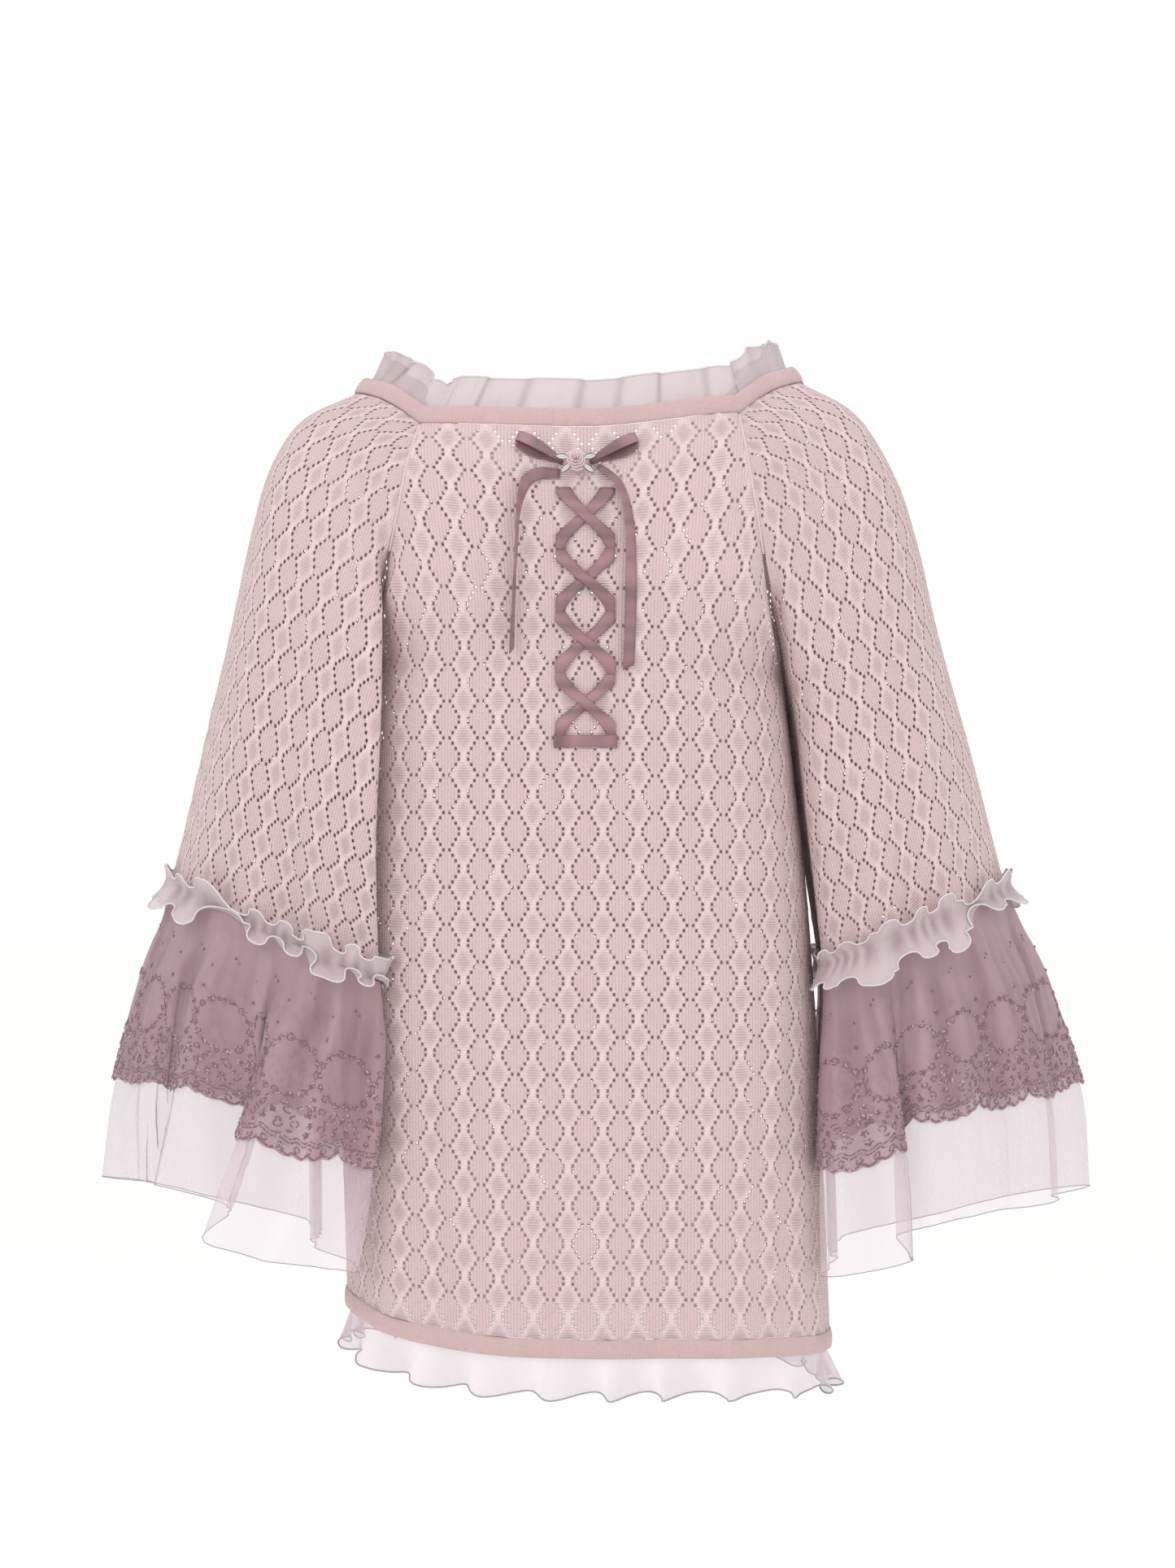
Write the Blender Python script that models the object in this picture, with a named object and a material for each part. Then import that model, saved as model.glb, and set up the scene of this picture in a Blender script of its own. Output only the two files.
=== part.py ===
"""Knit cape: a raglan pullover in lace knit with wide bell sleeves, worn form, seen from the back.

Millimetres in the tables, metres in the meshes. The front faces -Y, the back +Y, the wearer's left +X.
The origin is where the shoulders hold the garment, on the centre line at the height of the shoulder rest.
"""

import bmesh
import bpy
import numpy as np

MM = 0.001

# Cloth walls
KNIT_WALL = 1.4
CHIFFON_WALL = 1.0
RIBBON_WALL = 1.0
SEAM_GAP = 0.4

# Rib bands, double cloth
BAND_HEIGHT = 12.6
BAND_WALL = 2.6
BAND_BULGE = 0.5
BAND_FOOT = 0.8

# How far the neck band leans in, at the back and front and over the shoulders, and the hem flares
NECK_LEAN = 0.30
SHOULDER_LEAN = 0.70
HEM_FLARE = 0.03

# Waves of the ruffles, and the cells of each wave
NECK_RUFFLE_WAVES = 26
HEM_RUFFLE_WAVES = 22
HEADING_WAVES = 16
HEADING_INNER = 1.9
RUFFLE_CELLS = 4

# Ribbon lacing of the centre back: heights of the turns, how far out they reach, and the ribbon at the foot
LACING_TURNS = (-77.0, -115.5, -157.0, -198.0, -239.0)
LACING_TOP_SPREAD = 15.0
LACING_SPREAD = 20.0
LACING_REACH = 19.4
LACING_HALF = 6.2
LACING_CROSS = 1.5
LACING_CELLS = 8
RIBBON_LIFT = 1.6
FOOT_TOP = -239.6
FOOT_HEIGHT = 8.0
FOOT_REACH = 21.0

# Panel grids: cells across and cells down. A sleeve's crease lines run along its two inner folds.
SPLINE_STEPS = 10
BACK_CELLS = (20, 18)
FRONT_CELLS = (16, 12)
SLEEVE_CELLS = (26, 13)
SHOULDER_ROWS = 1.35
BACK_FOLD_AT = 5 / 26
FRONT_FOLD_AT = 22 / 26
FLOUNCE_CELLS = 52
LACE_ROWS = (1.006, 1.28, 1.62, 2.0)
CHIFFON_ROWS = (1.006, 1.28, 1.62, 2.0, 2.6)
BAND_CELLS = 48

LEFT = 1.0
RIGHT = -1.0


def table(columns, *rows):
    """A table with named columns, a row for each section of the garment."""
    return {name: np.array([row[i] for row in rows], float) for i, name in enumerate(columns.split())}


def read(rows, column, place):
    """The smooth value of one column at a place along the table's first column."""
    knots = rows["along"]
    values = rows[column]
    slopes = np.gradient(values, knots)
    i = np.clip(np.searchsorted(knots, place) - 1, 0, len(knots) - 2)
    h = knots[i + 1] - knots[i]
    t = (place - knots[i]) / h
    start = (1 + 2 * t) * (1 - t) ** 2 * values[i] + t * (1 - t) ** 2 * h * slopes[i]
    end = t * t * (3 - 2 * t) * values[i + 1] + t * t * (t - 1) * h * slopes[i + 1]
    return start + end


# Raglan seams from the neck, 0, to the underarm, 1. turn is the angle at which the cloth meets the seam,
# part is half the distance between body and sleeve where they hang side by side.
RAGLAN = {
    ("left", "back"): table(
        "along x y z turn part",
        (0.00, 111, 60, -30, 38, 0.1),
        (0.25, 119, 78, -57, 34, 0.1),
        (0.50, 126, 84, -94, 44, 0.5),
        (0.75, 137, 58, -142, 88, 1.3),
        (1.00, 150, -4, -190, 92, 1.4),
    ),
    ("right", "back"): table(
        "along x y z turn part",
        (0.00, -103, 61, -23, 38, 0.1),
        (0.25, -108, 79, -52, 32, 0.1),
        (0.50, -115, 87, -95, 38, 0.4),
        (0.75, -123, 72, -146, 88, 1.3),
        (1.00, -134, -4, -200, 96, 1.4),
    ),
    ("left", "front"): table(
        "along x y z turn part",
        (0.00, 114, -72, -48, 38, 0.1),
        (0.25, 122, -88, -80, 34, 0.1),
        (0.50, 130, -92, -116, 44, 0.5),
        (0.75, 139, -62, -154, 88, 1.3),
        (1.00, 150, -4, -190, 92, 1.4),
    ),
    ("right", "front"): table(
        "along x y z turn part",
        (0.00, -108, -72, -42, 38, 0.1),
        (0.25, -114, -88, -76, 34, 0.1),
        (0.50, -120, -92, -115, 44, 0.5),
        (0.75, -127, -62, -160, 88, 1.3),
        (1.00, -134, -4, -200, 92, 1.4),
    ),
}

# Side seams of the body below the underarm, along the panel
UNDERARM = 0.26
SIDE_SEAM = {
    "left": table(
        "along x y z",
        (0.26, 150, -4, -190),
        (0.36, 160, -4, -250),
        (0.48, 166, -4, -325),
        (0.62, 168, -4, -405),
        (0.80, 167, -4, -510),
        (1.00, 164, -4, -613),
    ),
    "right": table(
        "along x y z",
        (0.26, -134, -4, -200),
        (0.36, -141, -4, -257),
        (0.48, -150, -4, -330),
        (0.62, -157, -4, -410),
        (0.80, -163, -4, -522),
        (1.00, -168, -4, -642),
    ),
}

# A panel's flat middle reaches its full width once the side edge is this far out
FULL_REACH_AT = 155.0

# Middle line of each panel: depth, height, and how far the flat of the panel reaches from the middle
PANEL = {
    "back": table(
        "along y z reach edge_reach",
        (0.00, 84, -34, 46, 22),
        (0.06, 95, -63, 54, 30),
        (0.13, 104, -103, 70, 34),
        (0.20, 108, -148, 100, 46),
        (0.26, 108, -187, 118, 72),
        (0.44, 106, -301, 132, 80),
        (0.62, 106, -410, 136, 82),
        (0.80, 109, -522, 132, 82),
        (1.00, 113, -639, 128, 82),
    ),
    "front": table(
        "along y z reach edge_reach",
        (0.00, -98, -82, 46, 22),
        (0.06, -108, -104, 54, 30),
        (0.13, -117, -134, 70, 34),
        (0.20, -124, -166, 96, 46),
        (0.26, -129, -195, 108, 72),
        (0.44, -129, -302, 116, 80),
        (0.62, -127, -405, 120, 82),
        (0.80, -129, -512, 118, 82),
        (1.00, -132, -628, 116, 82),
    ),
}

# Sections of the sleeve from the neck, 0, to the cuff, 1, then of its two flounces: lace hem 2, chiffon 2.6.
# wall is the side next to the body, fold the edge that hangs at the back of it, then the back, outer and front.
SLEEVE_UNDERARM = 0.42
ROUND_SHOULDER = np.sqrt(0.5)
SLEEVE = {
    "left": table(
        "along wall_x wall_y fold_x fold_y back_x back_y outer_x outer_y outer_z front_x front_y"
        " front_fold_x front_fold_y front_wall_x front_wall_y",
        (0.00, 117, 55, 125, 49, 140, 33, 158, 0, -7, 140, -40, 127, -58, 120, -66),
        (0.10, 128, 73, 140, 66, 166, 46, 194, 0, -25, 166, -52, 143, -74, 132, -82),
        (0.20, 135, 81, 146, 76, 178, 60, 215, 0, -57, 178, -62, 150, -84, 140, -89),
        (0.31, 137.5, 72, 137, 84, 178, 76, 228, 0, -102, 180, -70, 152, -84, 142, -78),
        (0.42, 152, 46, 136, 94, 183, 84, 238, -2, -148, 186, -74, 160, -78, 153, -48),
        (0.70, 172, 48, 139, 99, 194, 90, 259, -5, -244, 200, -78, 176, -78, 172, -48),
        (1.00, 177, 48, 137, 98, 206, 86, 281, -8, -339, 212, -78, 184, -78, 177, -48),
        (1.50, 180, 50, 137, 102, 214, 94, 302, -10, -404, 220, -88, 188, -86, 180, -50),
        (2.00, 182, 50, 140, 108, 222, 100, 319, -12, -474, 228, -94, 192, -90, 182, -50),
        (2.60, 182, 50, 156, 104, 228, 98, 327, -12, -543, 232, -94, 194, -90, 182, -50),
    ),
    "right": table(
        "along wall_x wall_y fold_x fold_y back_x back_y outer_x outer_y outer_z front_x front_y"
        " front_fold_x front_fold_y front_wall_x front_wall_y",
        (0.00, -109, 56, -117, 50, -131, 34, -149, 0, 0, -132, -40, -120, -58, -114, -66),
        (0.10, -118, 74, -131, 67, -157, 47, -185, 0, -21, -158, -52, -134, -74, -124, -82),
        (0.20, -125, 83, -137, 78, -170, 60, -211, 0, -62, -170, -62, -140, -84, -130, -89),
        (0.31, -127.5, 76, -134, 79, -172, 68, -227, 0, -110, -172, -68, -142, -82, -132, -76),
        (0.42, -136, 40, -142, 66, -178, 72, -238, -2, -158, -178, -72, -146, -76, -136, -46),
        (0.70, -150, 34, -152, 62, -194, 78, -263, -5, -250, -192, -76, -158, -76, -148, -46),
        (1.00, -161.5, 34, -162, 64, -206, 80, -287, -8, -342, -206, -76, -170, -76, -161, -46),
        (1.50, -164, 36, -163, 70, -218, 88, -314, -10, -408, -218, -86, -174, -84, -162, -48),
        (2.00, -167, 36, -164, 74, -228, 92, -333, -12, -477, -226, -90, -178, -86, -165, -48),
        (2.60, -169, 36, -165, 74, -232, 92, -339, -12, -548, -230, -90, -178, -86, -167, -48),
    ),
}

# The sleeve's own seam, down the side next to the body
SLEEVE_SEAM = {
    "left": table(
        "along x y z",
        (0.42, 150, -4, -190),
        (0.70, 171, -2, -294),
        (1.00, 177, -2, -384),
        (1.50, 180, -2, -444),
        (2.00, 182, -2, -508),
        (2.60, 182, -2, -581),
    ),
    "right": table(
        "along x y z",
        (0.42, -134, -4, -200),
        (0.70, -147, -2, -302),
        (1.00, -160.5, -2, -394),
        (1.50, -163.5, -2, -458),
        (2.00, -166, -2, -523),
        (2.60, -168, -2, -592),
    ),
}

# Long soft folds: place across (-1 to 1), where they start and end down the piece, depth and width
PANEL_FOLDS = {
    "back": table(
        "across start end depth width",
        (-0.72, 0.55, 1.05, 3.2, 0.070),
        (-0.40, 0.45, 1.05, 3.6, 0.085),
        (-0.08, 0.60, 1.05, 2.8, 0.075),
        (0.24, 0.50, 1.05, 3.6, 0.090),
        (0.56, 0.40, 1.05, 3.4, 0.080),
    ),
    "front": table(
        "across start end depth width",
        (-0.66, 0.45, 1.05, 3.4, 0.080),
        (-0.30, 0.35, 1.05, 3.8, 0.090),
        (0.04, 0.55, 1.05, 3.0, 0.080),
        (0.38, 0.40, 1.05, 3.6, 0.085),
        (0.70, 0.50, 1.05, 3.0, 0.075),
    ),
}
SLEEVE_FOLDS = table(
    "across start end depth width",
    (-0.46, 0.25, 1.05, 4.0, 0.060),
    (-0.27, 0.45, 1.05, 3.0, 0.050),
    (0.20, 0.45, 1.05, 3.4, 0.060),
    (0.46, 0.30, 1.05, 4.0, 0.070),
)

# Large folds of the flounces, round the tube from the seam by way of the back: place, swing and width
FLOUNCE_FOLDS = table(
    "around swing width",
    (0.150, 8, 0.026),
    (0.205, -8, 0.026),
    (0.265, 9, 0.030),
    (0.330, -8, 0.030),
    (0.392, 9, 0.026),
    (0.455, -9, 0.032),
    (0.530, 10, 0.030),
    (0.600, -9, 0.032),
    (0.672, 10, 0.030),
    (0.745, -9, 0.032),
    (0.822, 8, 0.028),
)

# How far each layer lies inside the sleeve's line, at the cuff and lower down
LACE_INSET = (-1.0, -1.0)
CHIFFON_INSET = (0.95, 1.5)

# One deep fold at the back of each flounce, where the cloth turns behind itself and its hem steps up
TUCK = {
    "left": {"around": 0.335, "width": 0.042, "slide": 0.050, "depth": 11.0, "rise": 15.0},
    "right": {"around": 0.215, "width": 0.036, "slide": 0.040, "depth": 9.0, "rise": 11.0},
}


# Rows of the gathered strips: height or drop along the cloth, step off it, swing and rise of the waves
NECK_RUFFLE = table(
    "height step swing rise",
    (8.5, -4.1, 0.10, 0.0),
    (15.5, -4.9, 0.80, 0.0),
    (34.0, -3.2, 4.4, 1.2),
)
HEM_RUFFLE = table(
    "height step swing rise",
    (8.0, -2.4, 0.10, 0.0),
    (16.0, -3.0, 0.90, 0.0),
    (38.0, 0.6, 8.0, 3.2),
)
HEADING = table(
    "drop step swing rise",
    (-9.0, 6.0, 2.4, 1.6),
    (-2.5, 4.5, 0.4, 0.4),
    (2.5, 4.5, 0.4, 0.4),
    (10.5, 6.2, 2.6, 2.2),
)

# Bow: two loops out from the rose and back, and two tails; half is half the ribbon's width
BOW_LOOPS = table(
    "root_x root_z tip_x tip_z tilt",
    (15.0, -59, 45, -44, -0.42),
    (-3.2, -59, -34, -45, 0.42),
)
BOW_LOOP_HALF = 4.3
BOW_LOOP_HEIGHT = 4.6
BOW_CELLS = 14
TAIL_LEFT = table(
    "along x z half twist",
    (0.00, 17.0, -66.5, 3.2, 0),
    (0.12, 29.0, -66.0, 3.8, 0),
    (0.24, 38.5, -71.0, 4.2, 30),
    (0.38, 43.5, -86.0, 4.4, 66),
    (0.60, 45.8, -118.0, 4.4, 78),
    (1.00, 48.0, -184.0, 4.4, 78),
)
TAIL_RIGHT = table(
    "along x z half twist",
    (0.00, -15.5, -66.5, 2.4, 20),
    (0.12, -21.0, -71.0, 2.8, 30),
    (0.28, -26.8, -85.0, 3.4, 40),
    (0.45, -29.6, -102.0, 3.6, 36),
    (0.70, -30.4, -142.0, 3.8, 24),
    (1.00, -28.3, -195.0, 4.0, 20),
)

# Rose, sewn to the knit through the knot, and its leaves, which stand out from its widest ring
ROSE_X = 6.0
ROSE_Z = -59.0
ROSE_LIFT = 1.05
ROSE_SIDES = 20
ROSE_LOBES = 5
LOBE_DEPTH = 0.07
ROSE_RINGS = table(
    "radius height",
    (5.4, 0.0),
    (6.2, 3.0),
    (7.4, 6.6),
    (6.6, 8.4),
    (4.6, 7.8),
    (3.8, 9.4),
    (1.6, 9.0),
    (0.7, 8.2),
)
LEAF_LENGTH = 6.4
LEAF_HALF = 2.1
LEAF_LIFT = 7.7
LEAF_GAP = 0.25
LEAF_CELLS = 4
LEAF_TURNS = (10.0, 168.0, -38.0, 215.0)


def bezier(p0, p1, p2, p3, count=48):
    """Points along one cubic curve."""
    t = np.linspace(0, 1, count)[:, None]
    return (1 - t) ** 3 * p0 + 3 * t * (1 - t) ** 2 * p1 + 3 * t * t * (1 - t) * p2 + t**3 * p3


def through(points, steps=SPLINE_STEPS):
    """Points along a smooth curve that passes through the points given."""
    p = np.asarray(points, float)
    p = np.vstack([2 * p[0] - p[1], p, 2 * p[-1] - p[-2]])
    gap = np.sqrt(np.linalg.norm(np.diff(p, axis=0), axis=1))
    at = np.concatenate([[0], np.cumsum(gap)])

    def blend(t, k, m, first, second):
        return (at[m] - t) / (at[m] - at[k]) * first + (t - at[k]) / (at[m] - at[k]) * second

    line = []
    for i in range(1, len(p) - 2):
        t = np.linspace(at[i], at[i + 1], steps, endpoint=False)[:, None]
        a = blend(t, i - 1, i, p[i - 1], p[i])
        b = blend(t, i, i + 1, p[i], p[i + 1])
        c = blend(t, i + 1, i + 2, p[i + 1], p[i + 2])
        d = blend(t, i - 1, i + 1, a, b)
        e = blend(t, i, i + 2, b, c)
        line.append(blend(t, i, i + 1, d, e))
    return np.vstack(line + [p[-2:-1]])


def spaced(line, places):
    """Points of a line at shares of its length, from 0 to 1."""
    steps = np.linalg.norm(np.diff(line, axis=0), axis=1)
    run = np.concatenate([[0], np.cumsum(steps)])
    return np.column_stack([np.interp(np.asarray(places) * run[-1], run, line[:, k]) for k in range(3)])


def round_row(row, places):
    """Points of a closed row at shares of its length."""
    return spaced(np.vstack([row, row[:1]]), np.mod(places, 1.0))


def trimmed(line, gap):
    """A line shortened by a small gap at both ends."""
    line = line.copy()
    for end, next_in in ((0, 1), (-1, -2)):
        step = line[next_in] - line[end]
        line[end] += step * gap / np.linalg.norm(step)
    return line


def by_folds(line, places):
    """Points of a sleeve row at shares of its three stretches, which meet at the back and front folds."""
    places = np.asarray(places)
    ends = (0.0, BACK_FOLD_AT, FRONT_FOLD_AT, 1.0)
    cuts = (0, SPLINE_STEPS * 2, SPLINE_STEPS * 8, len(line) - 1)
    points = np.zeros((len(places), 3))
    for k in range(3):
        inside = (places >= ends[k]) & (places <= ends[k + 1])
        shares = (places[inside] - ends[k]) / (ends[k + 1] - ends[k])
        points[inside] = spaced(line[cuts[k] : cuts[k + 1] + 1], shares)
    return points


def raglan_point(side, face, place, sign):
    """A point of a raglan seam: sign -1 on the body's cloth, +1 on the sleeve's."""
    seam = RAGLAN[side, face]
    out = LEFT if side == "left" else RIGHT
    shift = sign * out * read(seam, "part", place)
    return np.array([read(seam, "x", place) + shift, read(seam, "y", place), read(seam, "z", place)])


def panel_edge(side, face, along):
    """The side edge of a body panel, and the angle at which the panel meets it."""
    if along < UNDERARM:
        place = along / UNDERARM
        return raglan_point(side, face, place, -1.0), read(RAGLAN[side, face], "turn", place)
    seam = SIDE_SEAM[side]
    out = LEFT if side == "left" else RIGHT
    part = read(RAGLAN[side, face], "part", 1.0)
    point = np.array([read(seam, "x", along) - out * part, read(seam, "y", along), read(seam, "z", along)])
    end_turn = RAGLAN[side, face]["turn"][-1]
    return point, 90.0 + (end_turn - 90.0) * max(0.0, 1.0 - 3.0 * (along - UNDERARM))


def panel_row(face, along):
    """One row of a body panel, from the right edge by the middle to the left edge."""
    rows = PANEL[face]
    facing = 1.0 if face == "back" else -1.0
    middle = np.array([0.0, read(rows, "y", along), read(rows, "z", along)])
    reach = read(rows, "reach", along)
    edge_reach = read(rows, "edge_reach", along)
    halves = []
    for side, out in (("right", RIGHT), ("left", LEFT)):
        edge, turn = panel_edge(side, face, along)
        share = min(1.0, abs(edge[0]) / FULL_REACH_AT)
        lean = np.radians(turn)
        p1 = middle + np.array([out * reach * share, 0.0, 0.0])
        p2 = edge + edge_reach * np.array([-out * np.cos(lean), facing * np.sin(lean), 0.0])
        halves.append(bezier(middle, p1, p2, edge))
    row = np.vstack([halves[0][::-1], halves[1][1:]])
    return trimmed(row, SEAM_GAP / 2)


def sleeve_row(side, along):
    """One row of a sleeve or flounce, from the back seam over the outer side to the front seam."""
    rows = SLEEVE[side]
    if along < SLEEVE_UNDERARM:
        place = along / SLEEVE_UNDERARM
        back = raglan_point(side, "back", place, 1.0)
        front = raglan_point(side, "front", place, 1.0)
    else:
        seam = SLEEVE_SEAM[side]
        out = LEFT if side == "left" else RIGHT
        part = read(RAGLAN[side, "back"], "part", 1.0)
        back = np.array([read(seam, "x", along) + out * part, read(seam, "y", along), read(seam, "z", along)])
        front = back
    outer = np.array([read(rows, "outer_x", along), read(rows, "outer_y", along), read(rows, "outer_z", along)])

    bow = 1.0 - step_in(along, 0.0, SLEEVE_UNDERARM)

    def at_height(x, y, edge):
        share = (x - edge[0]) / (outer[0] - edge[0])
        share += bow * (np.sin(share * np.pi / 2) - share)
        return np.array([x, y, edge[2] + (outer[2] - edge[2]) * share])

    def place_of(name, edge):
        return at_height(read(rows, name + "_x", along), read(rows, name + "_y", along), edge)

    def shoulder_of(spot, edge):
        x = spot[0] + (outer[0] - spot[0]) * ROUND_SHOULDER
        y = outer[1] + (spot[1] - outer[1]) * ROUND_SHOULDER
        return at_height(x, y, edge)

    spot_back = place_of("back", back)
    spot_front = place_of("front", front)
    points = [
        back,
        place_of("wall", back),
        place_of("fold", back),
        spot_back,
        shoulder_of(spot_back, back),
        outer,
        shoulder_of(spot_front, front),
        spot_front,
        place_of("front_fold", front),
        place_of("front_wall", front),
        front,
    ]
    return trimmed(through(points), SEAM_GAP / 2)


def normals(grid):
    """Directions square to a grid of points, pointing left of down crossed with across."""
    across = np.gradient(grid, axis=1)
    down = np.gradient(grid, axis=0)
    n = np.cross(across, down)
    return n / np.maximum(np.linalg.norm(n, axis=2, keepdims=True), 1e-9)


def ring_normals(grid):
    """Directions square to a grid whose rows are closed loops."""
    across = np.roll(grid, -1, axis=1) - np.roll(grid, 1, axis=1)
    down = np.gradient(grid, axis=0)
    n = np.cross(across, down)
    return n / np.maximum(np.linalg.norm(n, axis=2, keepdims=True), 1e-9)


def outward(grid, square):
    """The same directions, turned to point away from the middle of the grid."""
    middle = grid.reshape(-1, 3).mean(axis=0)
    side = np.sum((grid - middle) * square)
    return square if side >= 0 else -square


def step_in(x, start, end):
    """A soft step from 0 to 1."""
    t = np.clip((x - start) / (end - start), 0, 1)
    return t * t * (3 - 2 * t)


def fold_depth(folds, across, along):
    """How far long soft folds move the cloth at each place."""
    depth = np.zeros(np.broadcast(across, along).shape)
    for place, start, end, size, width in zip(
        folds["across"], folds["start"], folds["end"], folds["depth"], folds["width"]
    ):
        ridge = np.exp(-(((across - place) / width) ** 2))
        trough = np.exp(-(((across - place - 2.1 * width) / (1.2 * width)) ** 2))
        depth += size * step_in(along, start, end) * (ridge - 0.8 * trough)
    return depth * (1 - np.abs(across) ** 8)


def panel_grid(face, cells):
    """Points of a body panel, rows from the neck to the hem."""
    across_cells, down_cells = cells
    places = np.linspace(0, 1, across_cells + 1)
    alongs = np.linspace(0, 1, down_cells + 1)
    grid = np.array([spaced(panel_row(face, along), places) for along in alongs])
    square = outward(grid, normals(grid))
    depth = fold_depth(PANEL_FOLDS[face], 2 * places[None, :] - 1, alongs[:, None])
    return grid + square * depth[:, :, None]


def sleeve_grid(side, cells):
    """Points of a sleeve, rows from the neck to the cuff."""
    across_cells, down_cells = cells
    places = np.linspace(0, 1, across_cells + 1)
    alongs = np.linspace(0, 1, down_cells + 1) ** SHOULDER_ROWS
    grid = np.array([by_folds(sleeve_row(side, along), places) for along in alongs])
    square = outward(grid, normals(grid))
    across = 2 * places[None, :] - 1
    depth = fold_depth(SLEEVE_FOLDS, across, alongs[:, None])
    return grid + square * depth[:, :, None]


def flounce_grid(sleeve, side, alongs, inset):
    """Points of a flounce: closed rows that fall from the last row of the sleeve in large folds."""
    places = np.arange(FLOUNCE_CELLS) / FLOUNCE_CELLS
    alongs = np.array(alongs)
    growth = step_in(alongs, 0.9, 2.3)
    tuck = TUCK[side]
    turn = (places - tuck["around"]) / tuck["width"]
    slide = -tuck["slide"] * turn * np.exp(0.5 - turn * turn)
    step = np.tanh(2.0 * turn) * np.exp(-((turn / 4.0) ** 2))
    swing = np.zeros(FLOUNCE_CELLS)
    for place, size, width in zip(FLOUNCE_FOLDS["around"], FLOUNCE_FOLDS["swing"], FLOUNCE_FOLDS["width"]):
        swing += size * np.exp(-(((places - place) / width) ** 2))
    swing = swing * (1 - np.exp(-((turn / 2.2) ** 2))) - tuck["depth"] * step
    base = np.array([spaced(sleeve_row(side, along), places) for along in alongs])
    grid = np.array([spaced(sleeve_row(side, along), places + slide * g) for along, g in zip(alongs, growth)])
    grid[0] += round_row(sleeve[-1], places) - spaced(sleeve_row(side, 1.0), places)
    square = outward(base, ring_normals(base))
    grid += square * (swing[None, :] * growth[:, None])[:, :, None]
    grid[:, :, 2] += tuck["rise"] * step[None, :] * growth[:, None]
    facing = 1.0 if np.allclose(square, ring_normals(base)) else -1.0
    sink = inset[0] + (inset[1] - inset[0]) * step_in(alongs, 1.0, 1.6)
    return grid - facing * ring_normals(grid) * sink[:, None, None]


def finish(mesh_name, bm, colour, roughness):
    """Turn a bmesh into a finished object with its own material."""
    bmesh.ops.remove_doubles(bm, verts=bm.verts, dist=1e-7)
    bmesh.ops.recalc_face_normals(bm, faces=bm.faces)
    mesh = bpy.data.meshes.new(mesh_name)
    bm.to_mesh(mesh)
    bm.free()
    mesh.shade_smooth()
    mesh.set_sharp_from_angle(angle=np.radians(50))
    material = bpy.data.materials.new(mesh_name + "_cloth")
    material.use_nodes = True
    shader = material.node_tree.nodes["Principled BSDF"]
    shader.inputs["Base Color"].default_value = (*colour, 1.0)
    shader.inputs["Roughness"].default_value = roughness
    shader.inputs["Metallic"].default_value = 0.0
    mesh.materials.append(material)
    thing = bpy.data.objects.new(mesh_name, mesh)
    bpy.context.collection.objects.link(thing)
    return thing


def wall(name, grid, square, thickness, colour, roughness=0.85, closed=False):
    """A closed solid: a sheet of points given a wall, open or closed round its rows."""
    outer = grid + square * thickness / 2
    inner = grid - square * thickness / 2
    bm = bmesh.new()
    skins = [[[bm.verts.new(p * MM) for p in row] for row in skin] for skin in (outer, inner)]
    rows, columns = grid.shape[:2]
    last = columns if closed else columns - 1
    for skin in skins:
        for r in range(rows - 1):
            for c in range(last):
                d = (c + 1) % columns
                bm.faces.new((skin[r][c], skin[r][d], skin[r + 1][d], skin[r + 1][c]))
    top, bottom = skins
    for c in range(last):
        d = (c + 1) % columns
        bm.faces.new((top[0][c], top[0][d], bottom[0][d], bottom[0][c]))
        bm.faces.new((top[-1][c], top[-1][d], bottom[-1][d], bottom[-1][c]))
    if not closed:
        for c in (0, columns - 1):
            for r in range(rows - 1):
                bm.faces.new((top[r][c], top[r + 1][c], bottom[r + 1][c], bottom[r][c]))
    return finish(name, bm, colour, roughness)


def smoothed_loop(line, count, passes=3):
    """A closed loop evenly spaced, with its small corners rounded."""
    dense = round_row(line, np.arange(8 * count) / (8 * count))
    for _ in range(passes * 8):
        dense = dense * 0.5 + (np.roll(dense, 1, axis=0) + np.roll(dense, -1, axis=0)) * 0.25
    return round_row(dense, np.arange(count) / count)


def level_out(loop):
    """The level direction out of a closed loop, at each of its points."""
    along = np.roll(loop, -1, axis=0) - np.roll(loop, 1, axis=0)
    out = np.cross(along, np.array([0.0, 0.0, 1.0]))
    out /= np.linalg.norm(out, axis=1, keepdims=True)
    if np.sum((loop - loop.mean(axis=0)) * out) < 0:
        out = -out
    return out


def neck_line(grids):
    """The closed line of the knit at the neck, through the tops of all four panels."""
    left = grids["sleeve_left"][0]
    right = grids["sleeve_right"][0]
    back = grids["back_panel"][0]
    front = grids["front_panel"][0]
    return np.vstack([back, left, front[::-1], right[::-1]])


def hem_line(grids):
    """The closed line of the knit at the hem."""
    return np.vstack([grids["back_panel"][-1], grids["front_panel"][-1][::-1]])


def band_rows(loop, up, out, foot):
    """The middle of a rib band: rows that stand just off the edge of the knit and bulge a little."""
    rows = [loop + up * foot[:, None]]
    rows.append(loop + up * BAND_HEIGHT * 0.55 + out * BAND_BULGE)
    rows.append(loop + up * BAND_HEIGHT)
    return np.array(rows)


def wave(places, count, seed):
    """Uneven waves round a gathered edge, between -1 and 1."""
    turn = places * 2 * np.pi
    phase = count * turn + 0.9 * np.sin(3 * turn + seed) + 0.5 * np.sin(7 * turn + 2 * seed)
    return np.sin(phase) * (0.78 + 0.22 * np.sin(5 * turn + seed)), np.cos(phase)


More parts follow.
